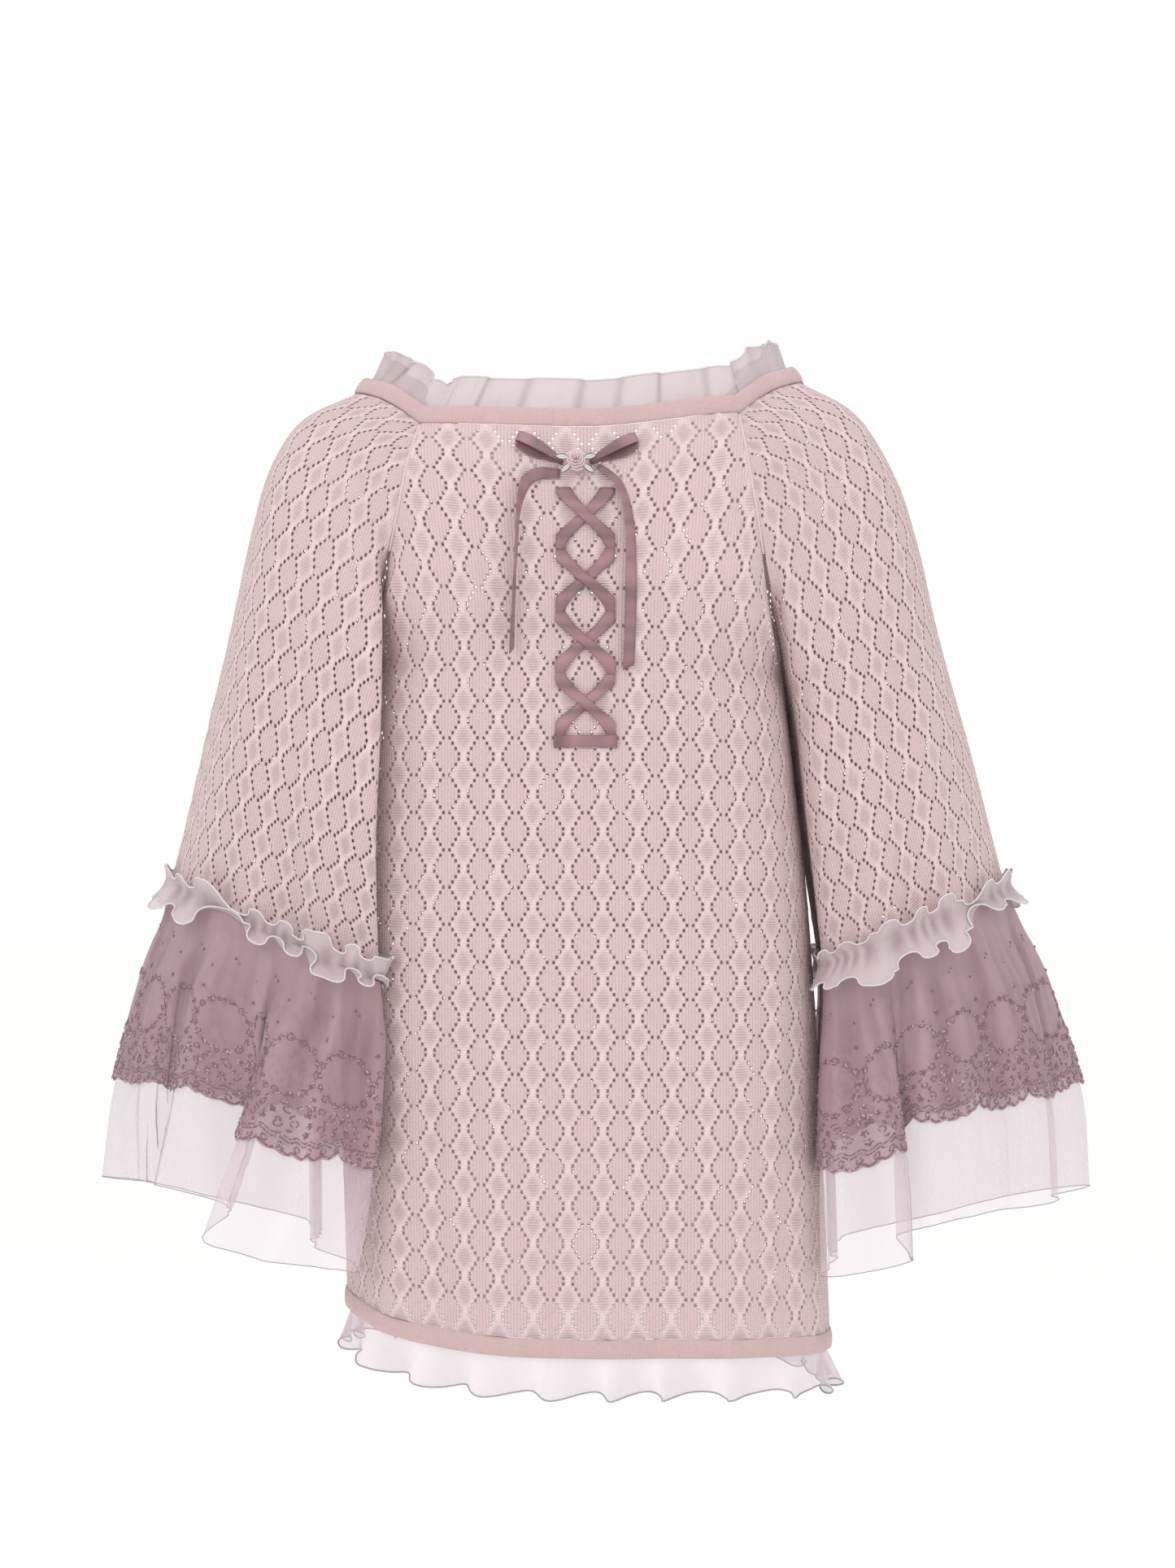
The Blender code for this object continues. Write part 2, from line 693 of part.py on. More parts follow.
def ruffle_rows(loop, up, out, rows, waves, seed):
    """A gathered strip: each row has its height, its step off the sewn edge, its swing and its lift."""
    side, lift = wave(np.arange(len(loop)) / len(loop), waves, seed)
    return np.array(
        [
            loop + up * (height + rise * lift)[:, None] + out * (step + swing * side)[:, None]
            for height, step, swing, rise in zip(rows["height"], rows["step"], rows["swing"], rows["rise"])
        ]
    )


def band_and_ruffle(names, loop, rise, lean, ruffle, waves, seed, colours):
    """A rib band on an edge of the knit and the gathered strip sewn inside it."""
    band_name, ruffle_name = names
    out = level_out(loop)
    up = np.array([0.0, 0.0, rise]) - out * lean[:, None]
    up /= np.linalg.norm(up, axis=1, keepdims=True)
    foot = BAND_FOOT * (1 + 2.2 * np.clip(lean, 0, 1) ** 2)
    grid = band_rows(loop, up, out, foot)
    wall(band_name, grid, outward(grid, ring_normals(grid)), BAND_WALL, colours[0], closed=True)
    places = np.arange(RUFFLE_CELLS * waves) / (RUFFLE_CELLS * waves)
    fine = round_row(loop, places)
    tips = round_row(loop + up, places)
    sides = round_row(loop + out, places)
    grid = ruffle_rows(fine, tips - fine, sides - fine, ruffle, waves, seed)
    wall(ruffle_name, grid, ring_normals(grid), CHIFFON_WALL, colours[1], closed=True)


def neck_pieces(grids):
    """The rib band round the neck and the pleated chiffon that stands inside it."""
    loop = smoothed_loop(neck_line(grids), BAND_CELLS)
    side = np.abs(loop[:, 0]) / np.abs(loop[:, 0]).max()
    lean = NECK_LEAN + (SHOULDER_LEAN - NECK_LEAN) * side**4
    names = ("neck_band", "neck_ruffle")
    band_and_ruffle(names, loop, 1.0, lean, NECK_RUFFLE, NECK_RUFFLE_WAVES, 0.4, (RIB_PINK, CHIFFON_GREY))


def hem_pieces(grids):
    """The rib band round the hem and the chiffon ruffle under it."""
    loop = smoothed_loop(hem_line(grids), BAND_CELLS)
    lean = np.full(len(loop), -HEM_FLARE)
    names = ("hem_band", "hem_ruffle")
    band_and_ruffle(names, loop, -1.0, lean, HEM_RUFFLE, HEM_RUFFLE_WAVES, 1.7, (RIB_PINK, CHIFFON_PALE))


def heading_grid(sleeve, lace, seed):
    """The narrow strip gathered along its middle that covers the seam of the cuff."""
    count = RUFFLE_CELLS * HEADING_WAVES
    steps = np.linalg.norm(np.diff(np.vstack([sleeve[-1], sleeve[-1][:1]]), axis=0), axis=1)
    crease = steps[: round(BACK_FOLD_AT * SLEEVE_CELLS[0])].sum() / steps.sum()
    places = (np.arange(count) - round(crease * count)) / count + crease
    swing, lift = wave(places, HEADING_WAVES, seed)
    free = 1.0 - np.exp(-((np.minimum(abs(places), abs(1 - places)) / 0.11) ** 2))
    knit = np.array([round_row(row, places) for row in sleeve[-2:]])
    cloth = np.array([round_row(row, places) for row in lace[:2]])
    rows = []
    for drop, step, size, rise in zip(HEADING["drop"], HEADING["step"], HEADING["swing"], HEADING["rise"]):
        near = knit if drop < 0 else cloth
        foot = near[1] if drop < 0 else near[0]
        fall = near[1] - near[0]
        fall /= np.linalg.norm(fall, axis=1, keepdims=True)
        square = outward(near, ring_normals(near))[0]
        off = (HEADING_INNER + (step - HEADING_INNER + size * swing) * free)[:, None]
        rows.append(foot + square * off + fall * (drop + rise * lift)[:, None])
    return np.array(rows)


def cuff_pieces(sleeve, side, seed):
    """The gathered heading, the lace flounce and the longer chiffon flounce of one cuff."""
    lace = flounce_grid(sleeve, side, LACE_ROWS, LACE_INSET)
    wall("lace_flounce_" + side, lace, ring_normals(lace), CHIFFON_WALL, LACE_MAUVE, closed=True)
    under = flounce_grid(sleeve, side, CHIFFON_ROWS, CHIFFON_INSET)
    wall("chiffon_flounce_" + side, under, ring_normals(under), CHIFFON_WALL, CHIFFON_PALE, closed=True)
    grid = heading_grid(sleeve, lace, seed)
    wall("heading_" + side, grid, outward(grid, ring_normals(grid)), CHIFFON_WALL, CHIFFON_GREY, closed=True)


def on_back(panel, x, z, lift):
    """A point of the back panel moved out by a lift, and the direction out of the cloth there."""
    step = 2.0

    def depth(px, pz):
        heights = np.array([np.interp(px, row[:, 0], row[:, 2]) for row in panel])
        depths = np.array([np.interp(px, row[:, 0], row[:, 1]) for row in panel])
        return np.interp(-pz, -heights, depths)

    y = depth(x, z)
    slope_x = (depth(x + step, z) - depth(x - step, z)) / (2 * step)
    slope_z = (depth(x, z + step) - depth(x, z - step)) / (2 * step)
    square = np.array([-slope_x, 1.0, -slope_z])
    square /= np.linalg.norm(square)
    return np.array([x, y, z]) + square * lift, square


def strip(name, panel, rows, colour):
    """A ribbon on the back panel: each row has its left and right places, their lifts and the cloth's side."""
    grid = np.array([[on_back(panel, x, z, lift)[0] for x, z, lift in row] for row in rows])
    square = normals(grid)
    if square[..., 1].sum() < 0:
        square = -square
    return wall(name, grid, square, RIBBON_WALL, colour, roughness=0.4)


def lacing(panel):
    """The crossed ribbon of the centre back: pairs of strands between the turns, and the ribbon at the foot."""
    for k in range(len(LACING_TURNS) - 1):
        top = LACING_TURNS[k] - SEAM_GAP / 2
        bottom = LACING_TURNS[k + 1] + SEAM_GAP / 2
        spread = LACING_TOP_SPREAD if k == 0 else LACING_SPREAD
        for strand, out in (("over", LEFT), ("under", RIGHT)):
            rows = []
            for t in np.linspace(0, 1, LACING_CELLS + 1):
                middle = out * (spread * (1 - t) - LACING_SPREAD * t)
                ends = np.clip([middle - LACING_HALF, middle + LACING_HALF], -LACING_REACH, LACING_REACH)
                raised = step_in(t, 0.05, 0.30) * (1 - step_in(t, 0.70, 0.95)) if strand == "over" else 0.0
                lift = RIBBON_LIFT + raised * LACING_CROSS
                z = top + (bottom - top) * t
                rows.append([(x, z, lift) for x in ends])
            strip("lacing_%s_%d" % (strand, k + 1), panel, rows, SATIN_ROSE)
    rows = []
    for x in np.linspace(-FOOT_REACH, FOOT_REACH, 9):
        rows.append([(x, FOOT_TOP + d, RIBBON_LIFT) for d in (0.0, -FOOT_HEIGHT)])
    strip("lacing_foot", panel, rows, SATIN_ROSE)


def ribbon(name, grid):
    """A length of satin ribbon through a grid of points."""
    wall(name, grid, normals(grid), RIBBON_WALL, SATIN_ROSE, roughness=0.4)


def bow_loop(name, panel, root_x, root_z, tip_x, tip_z, tilt):
    """One loop: out along the knit to the tip, and back above it."""
    grid = []
    for t in np.linspace(0, 1, BOW_CELLS + 1):
        reach = np.sin(np.pi * t) ** 0.8
        x = root_x + (tip_x - root_x) * reach
        z = root_z + (tip_z - root_z) * reach
        lift = RIBBON_LIFT + BOW_LOOP_HEIGHT * (1 - np.cos(np.pi * t)) / 2
        half = BOW_LOOP_HALF * (0.6 + 0.4 * reach)
        row = []
        for edge in (half, -half):
            row.append(on_back(panel, x + edge * np.sin(tilt), z + edge * np.cos(tilt), lift)[0])
        grid.append(row)
    ribbon(name, np.array(grid))


def bow_tail(name, panel, rows):
    """One tail: it leaves the knot flat and turns on its edge as it falls."""
    grid = []
    for t in np.linspace(0, 1, BOW_CELLS + 1):
        x, z, half, twist = (read(rows, column, t) for column in ("x", "z", "half", "twist"))
        ahead = min(t + 0.02, 1.0)
        behind = max(t - 0.02, 0.0)
        run = np.array([read(rows, column, ahead) - read(rows, column, behind) for column in ("x", "z")])
        run *= half / np.linalg.norm(run)
        turn = np.radians(twist)
        row = []
        for edge in (-1, 1):
            level = RIBBON_LIFT + half * np.sin(turn) * (1 + edge)
            px = x - edge * run[1] * np.cos(turn)
            pz = z + edge * run[0] * np.cos(turn)
            row.append(on_back(panel, px, pz, level)[0])
        grid.append(row)
    ribbon(name, np.array(grid))


def bow(panel):
    """The bow's two loops and two hanging tails."""
    for k, name in enumerate(("bow_loop_left", "bow_loop_right")):
        bow_loop(name, panel, **{column: values[k] for column, values in BOW_LOOPS.items()})
    bow_tail("bow_tail_left", panel, TAIL_LEFT)
    bow_tail("bow_tail_right", panel, TAIL_RIGHT)


def rose(panel):
    """The small fabric rose on the bow, a lobed dome with a bud, and its four leaves."""
    centre, square = on_back(panel, ROSE_X, ROSE_Z, ROSE_LIFT)
    across = np.cross(square, np.array([0.0, 0.0, 1.0]))
    across /= np.linalg.norm(across)
    upward = np.cross(across, square)
    turns = np.arange(ROSE_SIDES) / ROSE_SIDES * 2 * np.pi
    widest = ROSE_RINGS["radius"].max()
    bm = bmesh.new()
    rings = []
    for radius, height in zip(ROSE_RINGS["radius"], ROSE_RINGS["height"]):
        lobes = radius * (1 + LOBE_DEPTH * np.cos(ROSE_LOBES * turns) * (radius / widest))
        points = centre + np.outer(lobes * np.cos(turns), across) + np.outer(lobes * np.sin(turns), upward)
        rings.append([bm.verts.new((p + square * height) * MM) for p in points])
    for low, high in zip(rings[:-1], rings[1:]):
        for i in range(ROSE_SIDES):
            j = (i + 1) % ROSE_SIDES
            bm.faces.new((low[i], low[j], high[j], high[i]))
    bm.faces.new(rings[0][::-1])
    bm.faces.new(rings[-1])
    finish("rose", bm, ROSE_GREY, 0.7)
    for k, degrees in enumerate(LEAF_TURNS):
        turn = np.radians(degrees)
        root = widest * (1 + LOBE_DEPTH * np.cos(ROSE_LOBES * turn)) + LEAF_GAP
        rows = []
        for t in np.linspace(0, 1, LEAF_CELLS + 1):
            half = LEAF_HALF * (0.25 + 0.75 * np.sin(np.pi * min(0.08 + 0.84 * t, 1.0)))
            reach = root + t * LEAF_LENGTH
            px = ROSE_X + reach * np.cos(turn)
            pz = ROSE_Z + reach * np.sin(turn)
            edges = (-half, half)
            rows.append([(px - edge * np.sin(turn), pz + edge * np.cos(turn), LEAF_LIFT) for edge in edges])
        strip("leaf_%d" % (k + 1), panel, rows, LEAF_GREY)


def srgb(code):
    """Linear colour from a hex code."""
    values = np.array([int(code[i : i + 2], 16) / 255 for i in (0, 2, 4)])
    return tuple(np.where(values <= 0.04045, values / 12.92, ((values + 0.055) / 1.055) ** 2.4))


KNIT_PINK = srgb("E3C9CB")
RIB_PINK = srgb("E2C8C8")
CHIFFON_GREY = srgb("CFC0C3")
LACE_MAUVE = srgb("A88A93")
CHIFFON_PALE = srgb("E8DCE1")
SATIN_ROSE = srgb("95707A")
ROSE_GREY = srgb("D3BFC2")
LEAF_GREY = srgb("E6E2E2")


def clear_scene():
    for thing in list(bpy.data.objects):
        bpy.data.objects.remove(thing, do_unlink=True)


def main():
    clear_scene()
    grids = {
        "back_panel": panel_grid("back", BACK_CELLS),
        "front_panel": panel_grid("front", FRONT_CELLS),
        "sleeve_left": sleeve_grid("left", SLEEVE_CELLS),
        "sleeve_right": sleeve_grid("right", SLEEVE_CELLS),
    }
    for name, grid in grids.items():
        wall(name, grid, outward(grid, normals(grid)), KNIT_WALL, KNIT_PINK)
    neck_pieces(grids)
    hem_pieces(grids)
    cuff_pieces(grids["sleeve_left"], "left", 0.3)
    cuff_pieces(grids["sleeve_right"], "right", 2.1)
    lacing(grids["back_panel"])
    bow(grids["back_panel"])
    rose(grids["back_panel"])


main()
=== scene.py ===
"""Knit cape: a raglan pullover in lace knit with wide bell sleeves, seen from the back.

Millimetres in the tables and the surface functions, metres in the meshes. The front faces -Y, the back +Y,
the wearer's left +X. The knit is laid out stitch by stitch, with its eyelets left open.
"""

import bmesh
import bpy
import numpy as np
from bpy.props import FloatProperty, FloatVectorProperty, IntProperty, PointerProperty
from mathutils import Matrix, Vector


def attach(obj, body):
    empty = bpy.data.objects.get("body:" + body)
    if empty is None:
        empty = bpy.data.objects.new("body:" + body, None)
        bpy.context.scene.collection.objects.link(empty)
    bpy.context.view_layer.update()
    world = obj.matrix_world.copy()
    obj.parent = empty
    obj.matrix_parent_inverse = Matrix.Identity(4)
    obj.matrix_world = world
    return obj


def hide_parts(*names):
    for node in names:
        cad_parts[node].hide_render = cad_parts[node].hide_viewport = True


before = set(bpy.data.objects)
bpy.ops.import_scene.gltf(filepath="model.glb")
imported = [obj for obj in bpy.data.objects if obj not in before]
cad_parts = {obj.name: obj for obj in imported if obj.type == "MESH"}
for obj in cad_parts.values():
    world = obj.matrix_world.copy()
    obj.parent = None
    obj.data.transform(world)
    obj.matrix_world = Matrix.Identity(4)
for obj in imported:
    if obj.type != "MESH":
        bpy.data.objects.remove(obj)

bl_info = {
    "name": "Knit cape",
    "version": (1, 0, 0),
    "blender": (4, 5, 0),
    "location": "3D View > Sidebar > Knit cape",
    "description": "Lace knit cape with chiffon flounces and a laced back",
    "category": "Object",
}

MM = 0.001

# Gap between two panels along their seam
SEAM_GAP = 0.4

# Rib bands, double cloth
BAND_HEIGHT = 12.6
BAND_WALL = 2.6
BAND_BULGE = 0.5
BAND_FOOT = 0.8

# How far the neck band leans in, at the back and front and over the shoulders, and the hem flares
NECK_LEAN = 0.30
SHOULDER_LEAN = 0.70
HEM_FLARE = 0.03

# Waves of a cuff's heading, its solid's cells to a wave, and how far off the cuff it lies at the inner side
HEADING_WAVES = 16
HEADING_CELLS = 4
HEADING_INNER = 1.9

# Ribbon lacing of the centre back: heights of the turns, how far out they reach, and the ribbon at the foot
LACING_TURNS = (-77.0, -115.5, -157.0, -198.0, -239.0)
LACING_TOP_SPREAD = 15.0
LACING_SPREAD = 20.0
LACING_REACH = 19.4
LACING_HALF = 6.2
LACING_CROSS = 1.5
RIBBON_LIFT = 1.6
FOOT_TOP = -239.6
FOOT_HEIGHT = 8.0
FOOT_REACH = 21.0

# The solids' cells across and down each knit piece, and how a sleeve's rows crowd towards the neck
CELLS = {
    "back_panel": (20, 18, 1.0),
    "front_panel": (16, 12, 1.0),
    "sleeve_left": (26, 13, 1.35),
    "sleeve_right": (26, 13, 1.35),
}

# Steps of a curve between two of its points, and where a sleeve's back and front folds lie across it
SPLINE_STEPS = 10
BACK_FOLD_AT = 5 / 26
FRONT_FOLD_AT = 22 / 26

# Cells round the solid of a flounce, and the rows of the lace and of the longer chiffon down from the cuff
FLOUNCE_CELLS = 52
LACE_ROWS = (1.006, 1.28, 1.62, 2.0)
CHIFFON_ROWS = (1.006, 2.6)

# Which way is out from the middle on each side
OUT = {"left": 1.0, "right": -1.0}

# How much closer a band's line is sampled while its corners are rounded, and how many times they are
DENSER = 8
SMOOTHINGS = 24

# Points of the fine strips: along them and across
BAND_POINTS = 420
BAND_SIDES = 18
RUFFLE_POINTS = 1248
RUFFLE_ROWS = 12
HEADING_POINTS = 768
HEADING_ROWS = 15
FLOUNCE_POINTS = 832
FLOUNCE_FINE_ROWS = 34

# Depth of a ruffle's small waves; waves of a heading's upper and lower edge, and how far they fold over
SMALL_WAVE = 0.5
HEADING_WAVES_BY_EDGE = (19, 16)
HEADING_STEEP = 1.85

# Where down a flounce its large folds grow, its join to the cuff ends, its gathers fade and its inset grows
FOLDS_GROW = (0.9, 2.3)
CUFF_JOIN = (1.0, 1.12)
GATHERS_FADE = (1.2, 2.0)
INSET_GROWS = (1.0, 1.6)

# Gathers round both flounces of a cuff: how many, how deep, and where they start
GATHERS = ((17, 2.9, 0.4), (31, 1.6, 1.9), (63, 0.6, 0.7))
# How the gathers grow: places down the flounce, and their share of the depth
GATHER_GROWTH = ((1.0, 1.06, 1.25, 1.8, 2.4), (0.0, 0.35, 0.85, 1.0, 1.1))
GATHER_LEAN = 0.55

# Flat pleats at the back of the neck, and where they end, as a share of half the width
NECK_PLEATS = 14
PLEAT_REACH = (0.62, 0.82)
PLEAT_DEPTH = 1.1
PLEAT_LAP = 2.4
PLEAT_RISE = 0.5

# Satin: how straight the lacing runs, how far it tucks under at its turns, how wide a loop of the bow opens,
# where each tail starts, how long a band of light is, and how far a ribbon bulges along its middle
RIBBON_CROWN = 0.5
LACING_STRAIGHT = 0.55
LACING_TUCK = 0.04
BOW_OPEN = 2.6
TAIL_ROOT = {"left": (0.0, 0.0), "right": (7.0, 5.0)}
SATIN_BAND = 11.0

# Points across and down the cloth that the ribbons lie on
GROUND_POINTS = (161, 121)

# Points along and across a ribbon, thickness of ribbon and petals, and the radius of a raglan seam
RIBBON_ROWS = 40
RIBBON_COLUMNS = 7
RIBBON_SHEET = 0.35
PETAL_SHEET = 0.3
SEAM_CORD = 0.9
# Start, end and points of a raglan seam's cord, and a direction that no cord runs in
RAGLAN_CORD = (0.01, 0.62, 80)
CORD_UP = np.array([0.12, 0.31, 0.94])

# The embroidered border of the lace flounces, in millimetres
WREATH_PITCH = 44.0
WREATH_HEIGHT = 53.0
WREATH_REACH = 16.5
WREATH_FLORETS = 15
SCALLOPS_TO_WREATH = 5
SCALLOP_DROP = 7.0
SMALL_SCALLOP = 1.6
# Florets under each wreath: across, up and reach. Leaves on one side, mirrored: across, up, length and turn.
UNDER_WREATH = (
    (0.0, 24.0, 2.6),
    (-6.5, 26.5, 2.3),
    (6.5, 26.5, 2.3),
    (-12.5, 31.0, 2.4),
    (12.5, 31.0, 2.4),
    (-4.2, 16.5, 2.5),
    (4.2, 16.5, 2.5),
    (-12.0, 20.0, 2.6),
    (12.0, 20.0, 2.6),
)
WREATH_LEAVES = (
    (2.0, 29.0, 5.0, 0.4),
    (8.5, 22.0, 4.6, 0.9),
    (1.5, 20.5, 4.4, -0.3),
    (8.0, 14.5, 4.6, 0.3),
    (16.0, 25.5, 5.0, 1.2),
    (17.0, 36.0, 4.6, 1.0),
)

# How much of the light each sheer cloth stops
GREY_ALPHA = 0.86
PALE_ALPHA = 0.55
SHEER_ALPHA = 0.34
LACE_ALPHA = 0.72

# Distances between ribs and threads, in millimetres. The real threads of chiffon, net and satin are finer than
# the picture shows, so they are drawn coarser.
RIB_PITCH = 1.2
RIB_ROW = 1.7
CHIFFON_THREAD = 0.6
NET_MESH = 1.1
SATIN_THREAD = 0.5

# Rounds of petals: how many, foot and reach from the middle, low and high edge, first turn, how far they curl
ROSE_PETALS = (
    (5, 1.6, 7.9, 1.0, 6.0, 0.2, 0.9),
    (5, 1.2, 6.4, 2.0, 7.6, 0.8, 0.8),
    (4, 0.9, 4.8, 3.0, 8.8, 0.1, 0.6),
    (3, 0.3, 3.0, 4.0, 9.4, 0.9, 0.3),
    (2, 0.1, 1.4, 5.0, 9.8, 0.4, 0.1),
)

# Radius of the floor and place of the camera, in metres
FLOOR_REACH = 30.0
CAMERA_PLACE = (-0.0014, 3.5, -0.272)


def table(columns, *rows):
    """A table with named columns, a row for each section of the garment."""
    return {name: np.array([row[i] for row in rows], float) for i, name in enumerate(columns.split())}


def read(rows, column, place):
    """The smooth value of one column at a place along the table's first column."""
    knots = rows["along"]
    values = rows[column]
    slopes = np.gradient(values, knots)
    i = np.clip(np.searchsorted(knots, place) - 1, 0, len(knots) - 2)
    h = knots[i + 1] - knots[i]
    t = (place - knots[i]) / h
    start = (1 + 2 * t) * (1 - t) ** 2 * values[i] + t * (1 - t) ** 2 * h * slopes[i]
    end = t * t * (3 - 2 * t) * values[i + 1] + t * t * (t - 1) * h * slopes[i + 1]
    return start + end


# Columns that several tables share
SEAM = "along x y z"
SECTION = (
    "along wall_x wall_y fold_x fold_y back_x back_y outer_x outer_y outer_z front_x front_y"
    " front_fold_x front_fold_y front_wall_x front_wall_y"
)
FOLD = "across start end depth width"
CREASE = "across drift start end size width"

# Raglan seams from the neck, 0, to the underarm, 1. turn is the angle at which the cloth meets the seam,
# part is half the distance between body and sleeve where they hang side by side.
RAGLAN = {
    ("left", "back"): table(
        SEAM + " turn part",
        (0.00, 111, 60, -30, 38, 0.1),
        (0.25, 119, 78, -57, 34, 0.1),
        (0.50, 126, 84, -94, 44, 0.5),
        (0.75, 137, 58, -142, 88, 1.3),
        (1.00, 150, -4, -190, 92, 1.4),
    ),
    ("right", "back"): table(
        SEAM + " turn part",
        (0.00, -103, 61, -23, 38, 0.1),
        (0.25, -108, 79, -52, 32, 0.1),
        (0.50, -115, 87, -95, 38, 0.4),
        (0.75, -123, 72, -146, 88, 1.3),
        (1.00, -134, -4, -200, 96, 1.4),
    ),
    ("left", "front"): table(
        SEAM + " turn part",
        (0.00, 114, -72, -48, 38, 0.1),
        (0.25, 122, -88, -80, 34, 0.1),
        (0.50, 130, -92, -116, 44, 0.5),
        (0.75, 139, -62, -154, 88, 1.3),
        (1.00, 150, -4, -190, 92, 1.4),
    ),
    ("right", "front"): table(
        SEAM + " turn part",
        (0.00, -108, -72, -42, 38, 0.1),
        (0.25, -114, -88, -76, 34, 0.1),
        (0.50, -120, -92, -115, 44, 0.5),
        (0.75, -127, -62, -160, 88, 1.3),
        (1.00, -134, -4, -200, 92, 1.4),
    ),
}

# Side seams of the body below the underarm, along the panel
UNDERARM = 0.26
SIDE_SEAM = {
    "left": table(
        SEAM,
        (0.26, 150, -4, -190),
        (0.36, 160, -4, -250),
        (0.48, 166, -4, -325),
        (0.62, 168, -4, -405),
        (0.80, 167, -4, -510),
        (1.00, 164, -4, -613),
    ),
    "right": table(
        SEAM,
        (0.26, -134, -4, -200),
        (0.36, -141, -4, -257),
        (0.48, -150, -4, -330),
        (0.62, -157, -4, -410),
        (0.80, -163, -4, -522),
        (1.00, -168, -4, -642),
    ),
}

# A panel's flat middle reaches its full width once the side edge is this far out
FULL_REACH_AT = 155.0

# Middle line of each panel: depth, height, and how far the flat of the panel reaches from the middle
PANEL = {
    "back": table(
        "along y z reach edge_reach",
        (0.00, 84, -34, 46, 22),
        (0.06, 95, -63, 54, 30),
        (0.13, 104, -103, 70, 34),
        (0.20, 108, -148, 100, 46),
        (0.26, 108, -187, 118, 72),
        (0.44, 106, -301, 132, 80),
        (0.62, 106, -410, 136, 82),
        (0.80, 109, -522, 132, 82),
        (1.00, 113, -639, 128, 82),
    ),
    "front": table(
        "along y z reach edge_reach",
        (0.00, -98, -82, 46, 22),
        (0.06, -108, -104, 54, 30),
        (0.13, -117, -134, 70, 34),
        (0.20, -124, -166, 96, 46),
        (0.26, -129, -195, 108, 72),
        (0.44, -129, -302, 116, 80),
        (0.62, -127, -405, 120, 82),
        (0.80, -129, -512, 118, 82),
        (1.00, -132, -628, 116, 82),
    ),
}

# Sections of the sleeve from the neck, 0, to the cuff, 1, then of its two flounces: lace hem 2, chiffon 2.6.
# wall is the side next to the body, fold the edge that hangs at the back of it, then the back, outer and front.
SLEEVE_UNDERARM = 0.42
ROUND_SHOULDER = np.sqrt(0.5)
SLEEVE = {
    "left": table(
        SECTION,
        (0.00, 117, 55, 125, 49, 140, 33, 158, 0, -7, 140, -40, 127, -58, 120, -66),
        (0.10, 128, 73, 140, 66, 166, 46, 194, 0, -25, 166, -52, 143, -74, 132, -82),
        (0.20, 135, 81, 146, 76, 178, 60, 215, 0, -57, 178, -62, 150, -84, 140, -89),
        (0.31, 137.5, 72, 137, 84, 178, 76, 228, 0, -102, 180, -70, 152, -84, 142, -78),
        (0.42, 152, 46, 136, 94, 183, 84, 238, -2, -148, 186, -74, 160, -78, 153, -48),
        (0.70, 172, 48, 139, 99, 194, 90, 259, -5, -244, 200, -78, 176, -78, 172, -48),
        (1.00, 177, 48, 137, 98, 206, 86, 281, -8, -339, 212, -78, 184, -78, 177, -48),
        (1.50, 180, 50, 137, 102, 214, 94, 302, -10, -404, 220, -88, 188, -86, 180, -50),
        (2.00, 182, 50, 140, 108, 222, 100, 319, -12, -474, 228, -94, 192, -90, 182, -50),
        (2.60, 182, 50, 156, 104, 228, 98, 327, -12, -543, 232, -94, 194, -90, 182, -50),
    ),
    "right": table(
        SECTION,
        (0.00, -109, 56, -117, 50, -131, 34, -149, 0, 0, -132, -40, -120, -58, -114, -66),
        (0.10, -118, 74, -131, 67, -157, 47, -185, 0, -21, -158, -52, -134, -74, -124, -82),
        (0.20, -125, 83, -137, 78, -170, 60, -211, 0, -62, -170, -62, -140, -84, -130, -89),
        (0.31, -127.5, 76, -134, 79, -172, 68, -227, 0, -110, -172, -68, -142, -82, -132, -76),
        (0.42, -136, 40, -142, 66, -178, 72, -238, -2, -158, -178, -72, -146, -76, -136, -46),
        (0.70, -150, 34, -152, 62, -194, 78, -263, -5, -250, -192, -76, -158, -76, -148, -46),
        (1.00, -161.5, 34, -162, 64, -206, 80, -287, -8, -342, -206, -76, -170, -76, -161, -46),
        (1.50, -164, 36, -163, 70, -218, 88, -314, -10, -408, -218, -86, -174, -84, -162, -48),
        (2.00, -167, 36, -164, 74, -228, 92, -333, -12, -477, -226, -90, -178, -86, -165, -48),
        (2.60, -169, 36, -165, 74, -232, 92, -339, -12, -548, -230, -90, -178, -86, -167, -48),
    ),
}

# The sleeve's own seam, down the side next to the body
SLEEVE_SEAM = {
    "left": table(
        SEAM,
        (0.42, 150, -4, -190),
        (0.70, 171, -2, -294),
        (1.00, 177, -2, -384),
        (1.50, 180, -2, -444),
        (2.00, 182, -2, -508),
        (2.60, 182, -2, -581),
    ),
    "right": table(
        SEAM,
        (0.42, -134, -4, -200),
        (0.70, -147, -2, -302),
        (1.00, -160.5, -2, -394),
        (1.50, -163.5, -2, -458),
        (2.00, -166, -2, -523),
        (2.60, -168, -2, -592),
    ),
}

